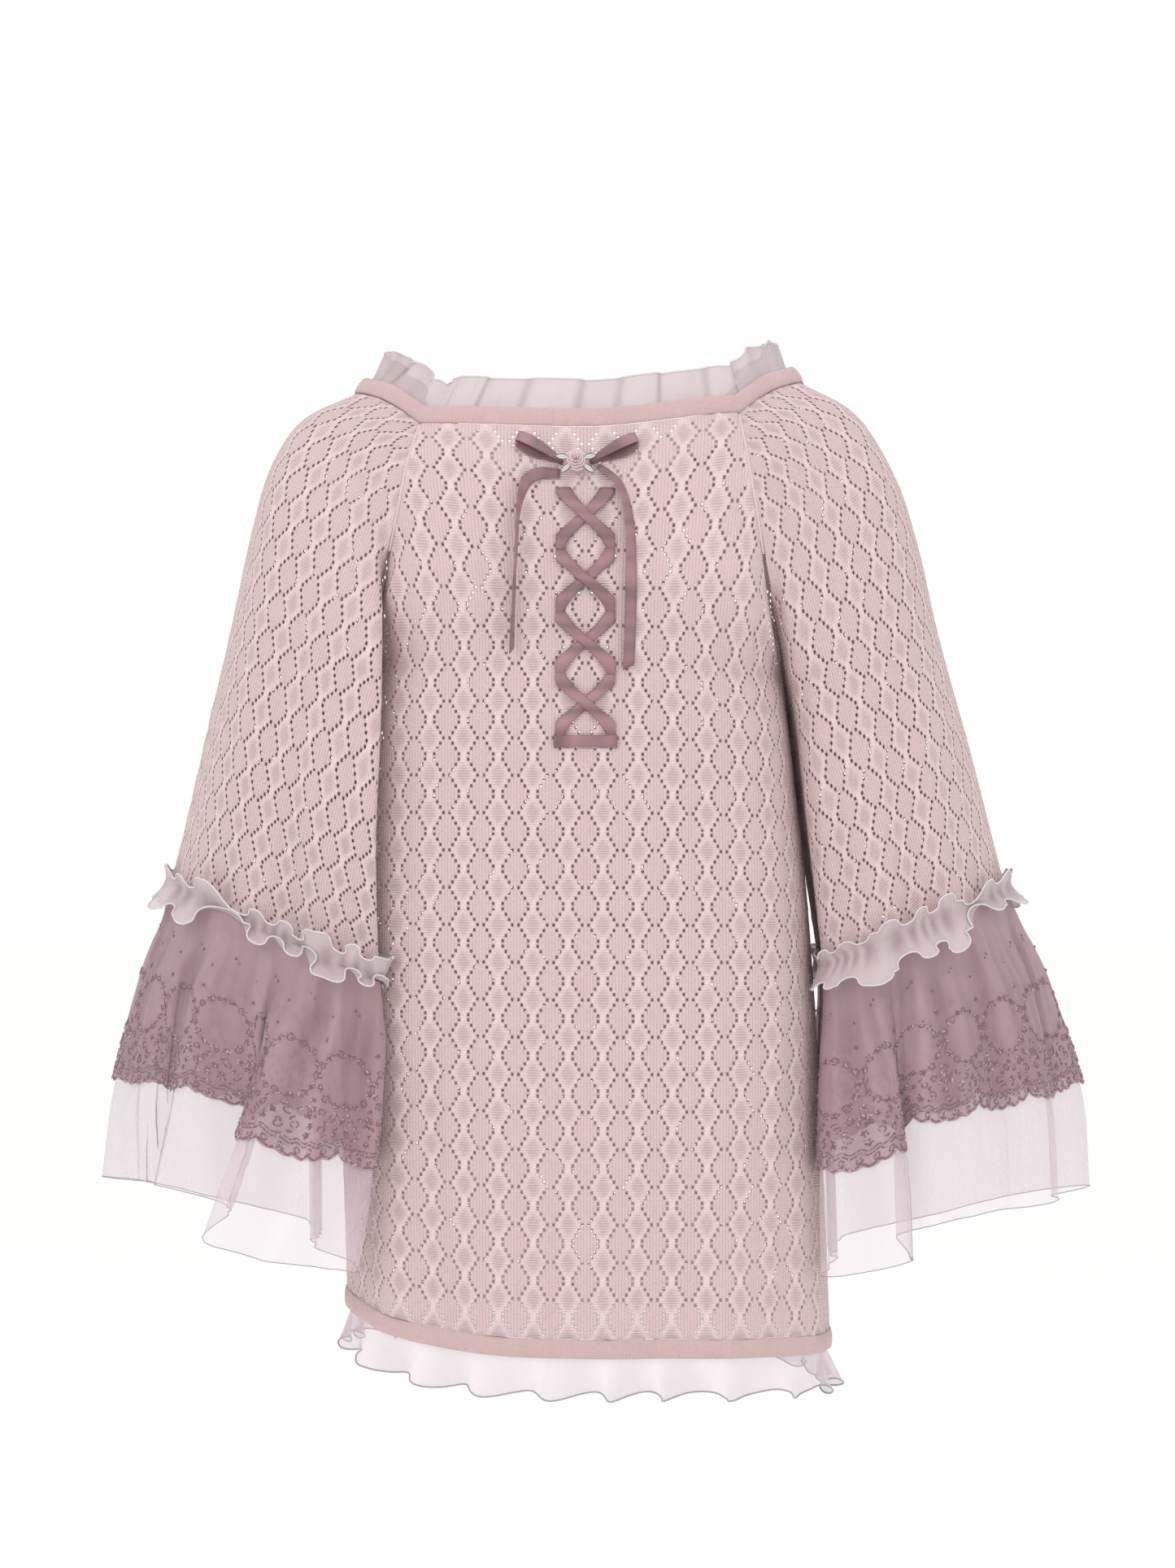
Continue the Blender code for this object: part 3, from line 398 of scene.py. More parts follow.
# Long soft folds: place across (-1 to 1), where they start and end down the piece, depth and width
FOLDS = {
    "back_panel": table(
        FOLD,
        (-0.72, 0.55, 1.05, 3.2, 0.070),
        (-0.40, 0.45, 1.05, 3.6, 0.085),
        (-0.08, 0.60, 1.05, 2.8, 0.075),
        (0.24, 0.50, 1.05, 3.6, 0.090),
        (0.56, 0.40, 1.05, 3.4, 0.080),
    ),
    "front_panel": table(
        FOLD,
        (-0.66, 0.45, 1.05, 3.4, 0.080),
        (-0.30, 0.35, 1.05, 3.8, 0.090),
        (0.04, 0.55, 1.05, 3.0, 0.080),
        (0.38, 0.40, 1.05, 3.6, 0.085),
        (0.70, 0.50, 1.05, 3.0, 0.075),
    ),
}
FOLDS["sleeve_left"] = FOLDS["sleeve_right"] = table(
    FOLD,
    (-0.46, 0.25, 1.05, 4.0, 0.060),
    (-0.27, 0.45, 1.05, 3.0, 0.050),
    (0.20, 0.45, 1.05, 3.4, 0.060),
    (0.46, 0.30, 1.05, 4.0, 0.070),
)

# Large folds of the flounces, round the tube from the seam by way of the back: place, swing and width
FLOUNCE_FOLDS = table(
    "around swing width",
    (0.150, 8, 0.026),
    (0.205, -8, 0.026),
    (0.265, 9, 0.030),
    (0.330, -8, 0.030),
    (0.392, 9, 0.026),
    (0.455, -9, 0.032),
    (0.530, 10, 0.030),
    (0.600, -9, 0.032),
    (0.672, 10, 0.030),
    (0.745, -9, 0.032),
    (0.822, 8, 0.028),
)

# How far each layer lies inside the sleeve's line, at the cuff and lower down
LACE_INSET = (-1.0, -1.0)
CHIFFON_INSET = (0.95, 1.5)

# One deep fold at the back of each flounce, where the cloth turns behind itself and its hem steps up
TUCK = {
    "left": {"around": 0.335, "width": 0.042, "slide": 0.050, "depth": 11.0, "rise": 15.0},
    "right": {"around": 0.215, "width": 0.036, "slide": 0.040, "depth": 9.0, "rise": 11.0},
}

# Rows of the gathered strips: height or drop along the cloth, step off it, swing and rise of the waves
NECK_RUFFLE = table(
    "height step swing rise",
    (8.5, -4.1, 0.10, 0.0),
    (15.5, -4.9, 0.80, 0.0),
    (34.0, -3.2, 4.4, 1.2),
)
HEM_RUFFLE = table(
    "height step swing rise",
    (8.0, -2.4, 0.10, 0.0),
    (16.0, -3.0, 0.90, 0.0),
    (38.0, 0.6, 8.0, 3.2),
)
# Each ruffle: rows, waves, where they start, small waves, pleats, cloth and edge
RUFFLES = (
    ("neck", NECK_RUFFLE, 26, 0.4, 57, NECK_PLEATS, "grey", "edge"),
    ("hem", HEM_RUFFLE, 22, 1.7, 61, 0, "pale", "rolled"),
)
HEADING = table(
    "drop step swing rise",
    (-9.0, 6.0, 2.4, 1.6),
    (-2.5, 4.5, 0.4, 0.4),
    (2.5, 4.5, 0.4, 0.4),
    (10.5, 6.2, 2.6, 2.2),
)

# Bow: two loops out from the rose and back, by root, tip and tilt, and two tails; half is half the width
BOW_LOOPS = {
    "left": (15.0, -59, 45, -44, -0.42),
    "right": (-3.2, -59, -34, -45, 0.42),
}
BOW_LOOP_HALF = 4.3
BOW_LOOP_HEIGHT = 4.6
TAIL_LEFT = table(
    "along x z half twist",
    (0.00, 17.0, -66.5, 3.2, 0),
    (0.12, 29.0, -66.0, 3.8, 0),
    (0.24, 38.5, -71.0, 4.2, 30),
    (0.38, 43.5, -86.0, 4.4, 66),
    (0.60, 45.8, -118.0, 4.4, 78),
    (1.00, 48.0, -184.0, 4.4, 78),
)
TAIL_RIGHT = table(
    "along x z half twist",
    (0.00, -15.5, -66.5, 2.4, 20),
    (0.12, -21.0, -71.0, 2.8, 30),
    (0.28, -26.8, -85.0, 3.4, 40),
    (0.45, -29.6, -102.0, 3.6, 36),
    (0.70, -30.4, -142.0, 3.8, 24),
    (1.00, -28.3, -195.0, 4.0, 20),
)
BOW_TAILS = {"left": TAIL_LEFT, "right": TAIL_RIGHT}

# Rose, sewn to the knit through the knot, and its leaves, which stand out from its widest ring
ROSE_X = 6.0
ROSE_Z = -59.0
ROSE_LIFT = 1.05
ROSE_LOBES = 5
LOBE_DEPTH = 0.07
ROSE_WIDEST = 7.4
LEAF_LENGTH = 6.4
LEAF_HALF = 2.1
LEAF_LIFT = 7.7
LEAF_TURNS = (10.0, 168.0, -38.0, 215.0)

# Fine sampling of the knit pieces, and the least distance between two corners
FINE_ACROSS = 280
FINE_DOWN = 240
MERGE = 0.02

# The lace stitch: a repeat of 11 stitches and 14 rows, with an eyelet every second row. The steps say how
# many stitches from the middle of the diamond the eyelets lie, from its top to its tip.
REPEAT_STITCHES = 11
REPEAT_HEIGHT = 24.8
EYELET_ROWS = 7
EYELET_STEPS = (2, 3, 4, 4, 3, 2, 1)
ROW_START = 3
KNIT_ROWS = 14
LEAN_ROUND = 25.0
STRETCH_LENGTH = 140.0
EYELET_HALF_WIDTH = 0.88
EYELET_HALF_HEIGHT = 1.12
EYELET_SINK = -0.22
EYELET_MARGIN = 1.0
RIDGE_RISE = 0.38
PUFF_RISE = 0.20

# Creases that show in the cloth over the large folds: place across, drift with the length, start, end,
# size and width
CREASES = {
    "back_panel": table(
        CREASE,
        (-0.86, 0.10, 0.02, 0.30, 1.6, 0.030),
        (0.87, -0.10, 0.02, 0.30, 1.6, 0.030),
        (-0.60, 0.20, 0.62, 1.02, 1.5, 0.030),
        (-0.25, -0.10, 0.70, 1.02, -1.3, 0.028),
        (0.10, 0.12, 0.74, 1.02, 1.4, 0.030),
        (0.40, -0.15, 0.66, 1.02, 1.5, 0.032),
        (0.72, -0.12, 0.60, 1.02, -1.4, 0.030),
        (-0.45, 0.30, 0.16, 0.42, 0.9, 0.050),
        (0.50, -0.25, 0.20, 0.46, 0.9, 0.050),
    ),
    "front_panel": table(
        CREASE,
        (-0.80, 0.12, 0.02, 0.34, 1.6, 0.035),
        (0.82, -0.12, 0.02, 0.32, 1.5, 0.035),
        (-0.50, 0.18, 0.55, 1.02, 1.6, 0.034),
        (-0.12, -0.08, 0.68, 1.02, -1.4, 0.030),
        (0.22, 0.10, 0.60, 1.02, 1.5, 0.034),
        (0.56, -0.14, 0.66, 1.02, 1.4, 0.032),
    ),
    "sleeve_left": table(
        CREASE,
        (-0.40, -0.02, 0.18, 0.98, 2.0, 0.030),
        (-0.30, 0.05, 0.30, 0.95, -1.6, 0.026),
        (-0.18, 0.02, 0.40, 1.00, 1.4, 0.028),
        (-0.53, 0.06, 0.28, 0.80, -1.5, 0.028),
        (0.30, 0.04, 0.20, 0.98, 1.9, 0.030),
        (0.42, -0.05, 0.34, 0.96, -1.5, 0.028),
        (0.10, 0.03, 0.50, 1.00, 1.2, 0.026),
    ),
    "sleeve_right": table(
        CREASE,
        (-0.42, 0.03, 0.20, 0.98, 2.1, 0.030),
        (-0.28, -0.04, 0.34, 0.96, -1.5, 0.028),
        (-0.16, 0.03, 0.46, 1.00, 1.3, 0.026),
        (-0.56, -0.04, 0.30, 0.90, 1.6, 0.026),
        (0.32, 0.02, 0.22, 0.98, 1.9, 0.030),
        (0.44, -0.04, 0.30, 0.92, -1.6, 0.028),
        (0.12, 0.04, 0.52, 1.00, 1.2, 0.026),
    ),
}

def unit(vectors):
    """The same directions, each of length one."""
    return vectors / np.maximum(np.linalg.norm(vectors, axis=-1, keepdims=True), 1e-9)


def run_of(line):
    """How far along a line each of its points is."""
    return np.concatenate([[0], np.cumsum(np.linalg.norm(np.diff(line, axis=0), axis=1))])


def length_of(row):
    """The length of a closed row of points."""
    return run_of(np.vstack([row, row[:1]]))[-1]


def step_in(x, start, end):
    """A soft step from 0 to 1."""
    t = np.clip((x - start) / (end - start), 0, 1)
    return t * t * (3 - 2 * t)


def bezier(p0, p1, p2, p3, count=48):
    """Points along one cubic curve."""
    t = np.linspace(0, 1, count)[:, None]
    return (1 - t) ** 3 * p0 + 3 * t * (1 - t) ** 2 * p1 + 3 * t * t * (1 - t) * p2 + t**3 * p3


def through(points, steps=SPLINE_STEPS):
    """Points along a smooth curve that passes through the points given."""
    p = np.asarray(points, float)
    p = np.vstack([2 * p[0] - p[1], p, 2 * p[-1] - p[-2]])
    gap = np.sqrt(np.linalg.norm(np.diff(p, axis=0), axis=1))
    at = np.concatenate([[0], np.cumsum(gap)])

    def blend(t, k, m, first, second):
        return (at[m] - t) / (at[m] - at[k]) * first + (t - at[k]) / (at[m] - at[k]) * second

    line = []
    for i in range(1, len(p) - 2):
        t = np.linspace(at[i], at[i + 1], steps, endpoint=False)[:, None]
        a = blend(t, i - 1, i, p[i - 1], p[i])
        b = blend(t, i, i + 1, p[i], p[i + 1])
        c = blend(t, i + 1, i + 2, p[i + 1], p[i + 2])
        d = blend(t, i - 1, i + 1, a, b)
        e = blend(t, i, i + 2, b, c)
        line.append(blend(t, i, i + 1, d, e))
    return np.vstack(line + [p[-2:-1]])


def spaced(line, places):
    """Points of a line at shares of its length, from 0 to 1."""
    run = run_of(line)
    return np.column_stack([np.interp(np.asarray(places) * run[-1], run, line[:, k]) for k in range(3)])


def round_row(row, places):
    """Points of a closed row at shares of its length."""
    return spaced(np.vstack([row, row[:1]]), np.mod(places, 1.0))


def trimmed(line, gap):
    """A line shortened by a small gap at both ends."""
    line = line.copy()
    for end, next_in in ((0, 1), (-1, -2)):
        step = line[next_in] - line[end]
        line[end] += step * gap / np.linalg.norm(step)
    return line


def by_folds(line, places):
    """Points of a sleeve row at shares of its three stretches, which meet at the back and front folds."""
    places = np.asarray(places)
    ends = (0.0, BACK_FOLD_AT, FRONT_FOLD_AT, 1.0)
    cuts = (0, SPLINE_STEPS * 2, SPLINE_STEPS * 8, len(line) - 1)
    points = np.zeros((len(places), 3))
    for k in range(3):
        inside = (places >= ends[k]) & (places <= ends[k + 1])
        shares = (places[inside] - ends[k]) / (ends[k + 1] - ends[k])
        points[inside] = spaced(line[cuts[k] : cuts[k + 1] + 1], shares)
    return points


def seam_point(seam, place, shift):
    """A point beside a seam, moved sideways by a shift."""
    return np.array([read(seam, "x", place) + shift, read(seam, "y", place), read(seam, "z", place)])


def raglan_point(side, face, place, sign):
    """A point of a raglan seam: sign -1 on the body's cloth, +1 on the sleeve's."""
    seam = RAGLAN[side, face]
    return seam_point(seam, place, sign * OUT[side] * read(seam, "part", place))


def panel_edge(side, face, along):
    """The side edge of a body panel, and the angle at which the panel meets it."""
    seam = RAGLAN[side, face]
    if along < UNDERARM:
        place = along / UNDERARM
        return raglan_point(side, face, place, -1.0), read(seam, "turn", place)
    point = seam_point(SIDE_SEAM[side], along, -OUT[side] * read(seam, "part", 1.0))
    return point, 90.0 + (seam["turn"][-1] - 90.0) * max(0.0, 1.0 - 3.0 * (along - UNDERARM))


def panel_row(face, along):
    """One row of a body panel, from the right edge by the middle to the left edge."""
    y, z, reach, edge_reach = (read(PANEL[face], column, along) for column in ("y", "z", "reach", "edge_reach"))
    middle = np.array([0.0, y, z])
    facing = 1.0 if face == "back" else -1.0
    halves = []
    for side, out in OUT.items():
        edge, turn = panel_edge(side, face, along)
        lean = np.radians(turn)
        p1 = middle + np.array([out * reach * min(1.0, abs(edge[0]) / FULL_REACH_AT), 0.0, 0.0])
        p2 = edge + edge_reach * np.array([-out * np.cos(lean), facing * np.sin(lean), 0.0])
        halves.append(bezier(middle, p1, p2, edge))
    return trimmed(np.vstack([halves[1][::-1], halves[0][1:]]), SEAM_GAP / 2)


def sleeve_row(side, along):
    """One row of a sleeve or flounce, from the back seam over the outer side to the front seam."""
    if along < SLEEVE_UNDERARM:
        back, front = (raglan_point(side, face, along / SLEEVE_UNDERARM, 1.0) for face in ("back", "front"))
    else:
        part = read(RAGLAN[side, "back"], "part", 1.0)
        back = front = seam_point(SLEEVE_SEAM[side], along, OUT[side] * part)
    at = {column: read(SLEEVE[side], column, along) for column in SLEEVE[side]}
    outer = np.array([at["outer_x"], at["outer_y"], at["outer_z"]])
    bow = 1.0 - step_in(along, 0.0, SLEEVE_UNDERARM)

    def at_height(x, y, edge):
        share = (x - edge[0]) / (outer[0] - edge[0])
        share += bow * (np.sin(share * np.pi / 2) - share)
        return np.array([x, y, edge[2] + (outer[2] - edge[2]) * share])

    def place_of(name, edge):
        return at_height(at[name + "_x"], at[name + "_y"], edge)

    def shoulder_of(spot, edge):
        x = spot[0] + (outer[0] - spot[0]) * ROUND_SHOULDER
        y = outer[1] + (spot[1] - outer[1]) * ROUND_SHOULDER
        return at_height(x, y, edge)

    near, far = place_of("back", back), place_of("front", front)
    points = [back, place_of("wall", back), place_of("fold", back), near, shoulder_of(near, back), outer]
    points += [shoulder_of(far, front), far, place_of("front_fold", front), place_of("front_wall", front), front]
    return trimmed(through(points), SEAM_GAP / 2)


def normals(grid, closed=False):
    """Directions square to a grid of points, whose rows may be closed loops."""
    across = np.roll(grid, -1, axis=1) - np.roll(grid, 1, axis=1) if closed else np.gradient(grid, axis=1)
    return unit(np.cross(across, np.gradient(grid, axis=0)))


def outward(grid, square):
    """The same directions, turned to point away from the middle of the grid."""
    side = np.sum((grid - grid.reshape(-1, 3).mean(axis=0)) * square)
    return square if side >= 0 else -square


def fold_depth(folds, across, along):
    """How far long soft folds move the cloth at each place."""
    depth = np.zeros(np.broadcast(across, along).shape)
    for place, start, end, size, width in zip(*folds.values()):
        ridge = np.exp(-(((across - place) / width) ** 2))
        trough = np.exp(-(((across - place - 2.1 * width) / (1.2 * width)) ** 2))
        depth += size * step_in(along, start, end) * (ridge - 0.8 * trough)
    return depth * (1 - np.abs(across) ** 8)


def crease_depth(creases, across, along):
    """Soft troughs and ridges placed one by one: each runs slantwise from its start to its end and fades out."""
    depth = np.zeros(np.broadcast(across, along).shape)
    for place, drift, start, end, size, width in zip(*creases.values()):
        line = place + drift * (along - start)
        fade = step_in(along, start, start + 0.3 * (end - start))
        fade = fade * (1 - step_in(along, end - 0.25 * (end - start), end))
        depth += size * fade * np.exp(-(((across - line) / width) ** 2))
    return depth * (1 - np.abs(across) ** 10)


def surface(name, places, alongs, creased=False):
    """Points of a knit piece, in rows from the neck down, with its folds and, where asked, its creases."""
    first, second = name.split("_")
    if second == "panel":
        grid = np.array([spaced(panel_row(first, along), places) for along in alongs])
    else:
        grid = np.array([by_folds(sleeve_row(second, along), places) for along in alongs])
    across, down = 2 * places[None, :] - 1, alongs[:, None]
    depth = fold_depth(FOLDS[name], across, down)
    if creased:
        depth += crease_depth(CREASES[name], across, down)
    return grid + outward(grid, normals(grid)) * depth[:, :, None]


def smoothed_loop(line, count):
    """A closed loop evenly spaced, with its small corners rounded."""
    dense = round_row(line, np.arange(DENSER * count) / (DENSER * count))
    for _ in range(SMOOTHINGS):
        dense = dense * 0.5 + (np.roll(dense, 1, axis=0) + np.roll(dense, -1, axis=0)) * 0.25
    return round_row(dense, np.arange(count) / count)


def along_row(row):
    """Unit steps along a closed row of points."""
    return unit(np.roll(row, -1, axis=0) - np.roll(row, 1, axis=0))


def level_out(loop):
    """The level direction out of a closed loop, at each of its points."""
    out = unit(np.cross(along_row(loop), np.array([0.0, 0.0, 1.0])))
    return out if np.sum((loop - loop.mean(axis=0)) * out) >= 0 else -out


def wave(places, count, seed):
    """Uneven waves round a gathered edge, between -1 and 1."""
    turn = places * 2 * np.pi
    phase = count * turn + 0.9 * np.sin(3 * turn + seed) + 0.5 * np.sin(7 * turn + 2 * seed)
    return np.sin(phase) * (0.78 + 0.22 * np.sin(5 * turn + seed)), np.cos(phase)


def between(values, i, k):
    """The values of a grid at rows and columns given with their fractions."""
    i = np.clip(i, 0, values.shape[0] - 1.0001)
    k = np.clip(k, 0, values.shape[1] - 1.0001)
    i0, k0 = i.astype(int), k.astype(int)
    f, g = (i - i0)[..., None], (k - k0)[..., None]
    low = values[i0, k0] * (1 - g) + values[i0, k0 + 1] * g
    high = values[i0 + 1, k0] * (1 - g) + values[i0 + 1, k0 + 1] * g
    return low * (1 - f) + high * f


class Lay:
    """A piece laid out flat: u runs across from its middle line and v down it, both in millimetres."""

    def __init__(self, grid, middle):
        run = np.array([run_of(row) for row in grid])
        start = np.array([np.interp(m, np.arange(len(r)), r) for m, r in zip(middle, run)])
        self.low, self.high = -start, run[:, -1] - start
        self.reach = np.ceil(max(start.max(), self.high.max())) + 2
        us = np.arange(-self.reach, self.reach + 1)
        both = np.concatenate([grid, outward(grid, normals(grid))], axis=2)
        self.table = np.array(
            [np.column_stack([np.interp(us, r - s, g[:, k]) for k in range(6)]) for r, s, g in zip(run, start, both)]
        )
        self.v = run_of(self.table[:, int(self.reach), :3])
        self.length = self.v[-1]
        self.area = np.trapz(self.high - self.low, self.v)
        self.width = (self.high - self.low).max()

    def at(self, u, v):
        """Places on the cloth and the directions out of it."""
        both = between(self.table, np.interp(v, self.v, np.arange(len(self.v))), u + self.reach)
        return both[..., :3], unit(both[..., 3:])

    def inside(self, u, v, margin):
        """True where a place is on the cloth, a margin in from its edges."""
        low, high = (np.interp(v, self.v, edge) for edge in (self.low, self.high))
        return (u > low + margin) & (u < high - margin) & (v > margin) & (v < self.length - margin)


def outer_place(side, along):
    """Where the outer line of a sleeve crosses one of its rows."""
    run = run_of(sleeve_row(side, along)[SPLINE_STEPS * 2 : SPLINE_STEPS * 8 + 1])
    return BACK_FOLD_AT + (FRONT_FOLD_AT - BACK_FOLD_AT) * run[SPLINE_STEPS * 3] / run[-1]


def lay_of(name):
    """A knit piece laid out from its centre line or, on a sleeve, from its outer line."""
    alongs = np.linspace(0, 1, FINE_DOWN + 1)
    grid = surface(name, np.linspace(0, 1, FINE_ACROSS + 1), alongs, creased=True)
    if name.endswith("panel"):
        return Lay(grid, [np.interp(0, row[:, 0], np.arange(len(row))) for row in grid])
    return Lay(grid, [outer_place(name.split("_")[1], along) * FINE_ACROSS for along in alongs])


def rework(mesh, change):
    """Change a mesh by a function of its editable form."""
    bm = bmesh.new()
    bm.from_mesh(mesh)
    change(bm)
    bm.to_mesh(mesh)
    bm.free()


def face_out(bm):
    """Turn the faces of closed forms outward."""
    bmesh.ops.recalc_face_normals(bm, faces=bm.faces)


def drop_loose(bm):
    """Drop the points that no face uses."""
    bmesh.ops.delete(bm, geom=[vert for vert in bm.verts if not vert.link_faces], context="VERTS")


def smooth_piece(name, points, faces, flat=None, paints=None):
    """A smooth piece on the root body: points in millimetres, a flat map by corner and painted values by point."""
    mesh = bpy.data.meshes.new(name)
    mesh.from_pydata((points * MM).tolist(), [], faces)
    if flat is not None:
        mesh.uv_layers.new(name="flat").data.foreach_set("uv", np.ascontiguousarray(flat).ravel())
    for paint, values in (paints or {}).items():
        layer = mesh.attributes.new(paint, "FLOAT", "POINT")
        layer.data.foreach_set("value", np.ravel(values).astype(np.float32))
    mesh.shade_smooth()
    thing = bpy.data.objects.new(name, mesh)
    bpy.context.collection.objects.link(thing)
    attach(thing, "root")
    return thing


def merged_piece(name, points, faces, flat, paints):
    """A smooth piece whose doubled corners are merged."""
    keys = np.round(points / MERGE).astype(np.int64)
    _, first, place = np.unique(keys, axis=0, return_index=True, return_inverse=True)
    place = place.ravel()
    kept, corners = [], []
    for face in faces:
        spots = {}
        for corner in face:
            spots.setdefault(int(place[corner]), corner)
        if len(spots) > 2:
            kept.append(list(spots))
            corners.extend(spots.values())
    paints = {paint: values[first] for paint, values in paints.items()}
    thing = smooth_piece(name, points[first], kept, flat[np.array(corners)], paints)
    thing.data.validate()
    rework(thing.data, drop_loose)
    return thing


def woven_piece(name, grids, flats=(), loops=(False, False), capped=False, paints=None):
    """A piece of quads through grids of points. loops says whether a grid closes down its columns and round its
    rows; its flat map then has one row or column more."""
    faces, corners, start = [], [], 0
    for n, grid in enumerate(grids):
        rows, columns = grid.shape[:2]
        r, c = (a.ravel() for a in np.mgrid[: rows - (not loops[0]), : columns - (not loops[1])])
        ways = ((r, c), (r, c + 1), (r + 1, c + 1), (r + 1, c))
        faces += np.stack([start + a % rows * columns + b % columns for a, b in ways], axis=1).tolist()
        if flats:
            corners.append(np.stack([flats[n][a, b] for a, b in ways], axis=1).reshape(-1, 2))
        if capped:
            for row in (0, rows - 1):
                faces.append([start + row * columns + k for k in range(columns)])
                corners.append(flats[n][row, :columns])
        start += rows * columns
    flat = np.vstack(corners) if corners else None
    return smooth_piece(name, np.vstack([grid.reshape(-1, 3) for grid in grids]), faces, flat, paints)


def mapped(across, down):
    """A flat map from the places across and down a piece."""
    return np.stack(np.broadcast_arrays(np.asarray(across)[None, :], np.asarray(down)[:, None]), axis=-1)


def drop_of(u, lean):
    """How far a knitted row has dropped at a distance from the middle line."""
    return lean * (np.sqrt(u * u + LEAN_ROUND**2) - LEAN_ROUND)


def at_corners(values):
    """Values of the cells of a grid, spread to its corners."""
    wide = np.pad(values.astype(float), 1, mode="edge")
    return (wide[:-1, :-1] + wide[1:, :-1] + wide[:-1, 1:] + wide[1:, 1:]) / 4


def knit_sheet(name, material, stitch, widen, lean):
    """Lace knit as one sheet of stitch cells: an open eyelet in each cell of the diamonds' outlines."""
    lay = lay_of(name)
    row = REPEAT_HEIGHT / EYELET_ROWS
    first_row = -int(np.ceil(drop_of(lay.reach, lean) / row))
    across = int(np.ceil(lay.reach / stitch)) + 2
    ks = np.arange(-across, across + 1) - 0.5
    js = np.arange(first_row, int(np.ceil(lay.length / row)) + 2)

    def flat_places(k, j):
        u = k * stitch * (1 + widen * (1 - step_in(j * row, 0, STRETCH_LENGTH)))
        flat = np.stack(np.broadcast_arrays(k / REPEAT_STITCHES, -(j + ROW_START) / EYELET_ROWS), axis=-1)
        return u, j * row + drop_of(u, lean), flat.reshape(-1, 2)

    cell = np.arange(-across, across)
    from_middle = np.abs((cell + REPEAT_STITCHES // 2) % REPEAT_STITCHES - REPEAT_STITCHES // 2)[None, :]
    half = np.array(EYELET_STEPS)[(js[:-1] + ROW_START) % EYELET_ROWS][:, None]
    hole, ridge, purl = from_middle == half, from_middle == half + 1, from_middle > half + 1
    height = np.where(hole, EYELET_SINK, 0) + np.where(ridge, RIDGE_RISE, 0)
    height = height + np.where(from_middle < half, PUFF_RISE * (1 - from_middle / 5), 0)
    u, v, flat = flat_places(ks[None, :], js[:, None])
    base, square = lay.at(u, v)
    points = base + square * at_corners(height)[..., None]
    whole = lay.inside(u, v, EYELET_MARGIN)
    opened = hole & whole[:-1, :-1] & whole[1:, :-1] & whole[:-1, 1:] & whole[1:, 1:]
    wide = len(ks)
    cells = [j * wide + k for j, k in zip(*np.where(~opened))]
    faces = [(a, a + 1, a + wide + 1, a + wide) for a in cells]

    open_j, open_k = np.where(opened)
    turn = np.radians(22.5 + 45 * np.arange(8))
    rim_k = cell[open_k][:, None] + EYELET_HALF_WIDTH / stitch * np.cos(turn)[None, :]
    rim_j = js[open_j][:, None] + 0.5 - EYELET_HALF_HEIGHT / row * np.sin(turn)[None, :]
    rim_u, rim_v, rim_flat = flat_places(rim_k, rim_j)
    spots, out = lay.at(rim_u, rim_v)
    for n, (j, k) in enumerate(zip(open_j, open_k)):
        a = j * wide + k
        ring = [points.size // 3 + 8 * n + m for m in range(8)]
        corners = (a + 1, a, a + wide, a + wide + 1)
        for m, corner in enumerate(corners):
            faces.append((corner, corners[m - 1], ring[2 * m - 1], ring[2 * m]))
            faces.append((corner, ring[2 * m], ring[2 * m + 1]))
    turned = np.cross(points[:-1, 1:] - points[:-1, :-1], points[1:, :-1] - points[:-1, :-1])
    if np.sum(turned * square[:-1, :-1]) < 0:
        faces = [face[::-1] for face in faces]
    # Painted values for the knit's colour: purl marks the purl stitches, ridge the raised ridges, which get a painted
    # highlight, and rim the eyelets' edges, which get painted shade.
    paints = {"purl": at_corners(purl), "ridge": at_corners(ridge), "rim": np.zeros(u.shape)}
    rims = {"purl": 0.0, "ridge": 0.0, "rim": 1.0}
    paints = {key: np.append(paints[key], np.full(rim_u.size, value)) for key, value in rims.items()}
    everything = np.vstack([points.reshape(-1, 3), (spots + out * EYELET_SINK).reshape(-1, 3)])
    thing = merged_piece(name + "_knit", everything, faces, np.vstack([flat, rim_flat]), paints)
    return finished(thing, material, name)


def dress(thing, material):
    """Give a piece one material all over."""
    thing.data.materials.clear()
    thing.data.materials.append(material)


def finished(thing, material, solid=None):
    """A piece with its material and slot and, where it stands for one of the solids, that solid hidden."""
    dress(thing, material)
    if solid:
        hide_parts(solid)
    return thing


def closed_skin(name, grid, folds):
    """A thin cloth through closed rows of points, facing out, and its flat height."""
    down = np.concatenate([[0], np.cumsum(np.linalg.norm(np.diff(grid, axis=0), axis=2).mean(axis=1))])
    columns = grid.shape[1]
    flat = mapped(np.arange(columns + 1) / columns * length_of(grid[len(grid) // 2]), -down)
    # The fold values become painted shade in the cloth's colour.
    thing = woven_piece(name, [grid], [flat], (False, True), paints={"fold": folds})
    if np.sum(normals(grid, closed=True) * (grid - grid.mean(axis=1, keepdims=True))) < 0:
        thing.data.flip_normals()
    return thing, down[-1]


def thread(name, lines, reach, sides, closed):
    """Fine cords along several lines, as one object. Each has its own length as its flat map."""
    tubes, flats = [], []
    for line in lines:
        along = along_row(line) if closed else unit(np.gradient(line, axis=0))
        first = unit(np.cross(along, CORD_UP))
        second = np.cross(along, first)
        turns = np.arange(sides) / sides * 2 * np.pi
        ring = np.cos(turns)[None, :, None] * first[:, None, :] + np.sin(turns)[None, :, None] * second[:, None, :]
        tubes.append(line[:, None, :] + reach * ring)
        flats.append(mapped(np.arange(sides + 1) / sides, run_of(np.vstack([line, line[:1]] if closed else [line]))))
    thing = woven_piece(name, tubes, flats, (closed, True), capped=not closed)
    rework(thing.data, face_out)
    return thing


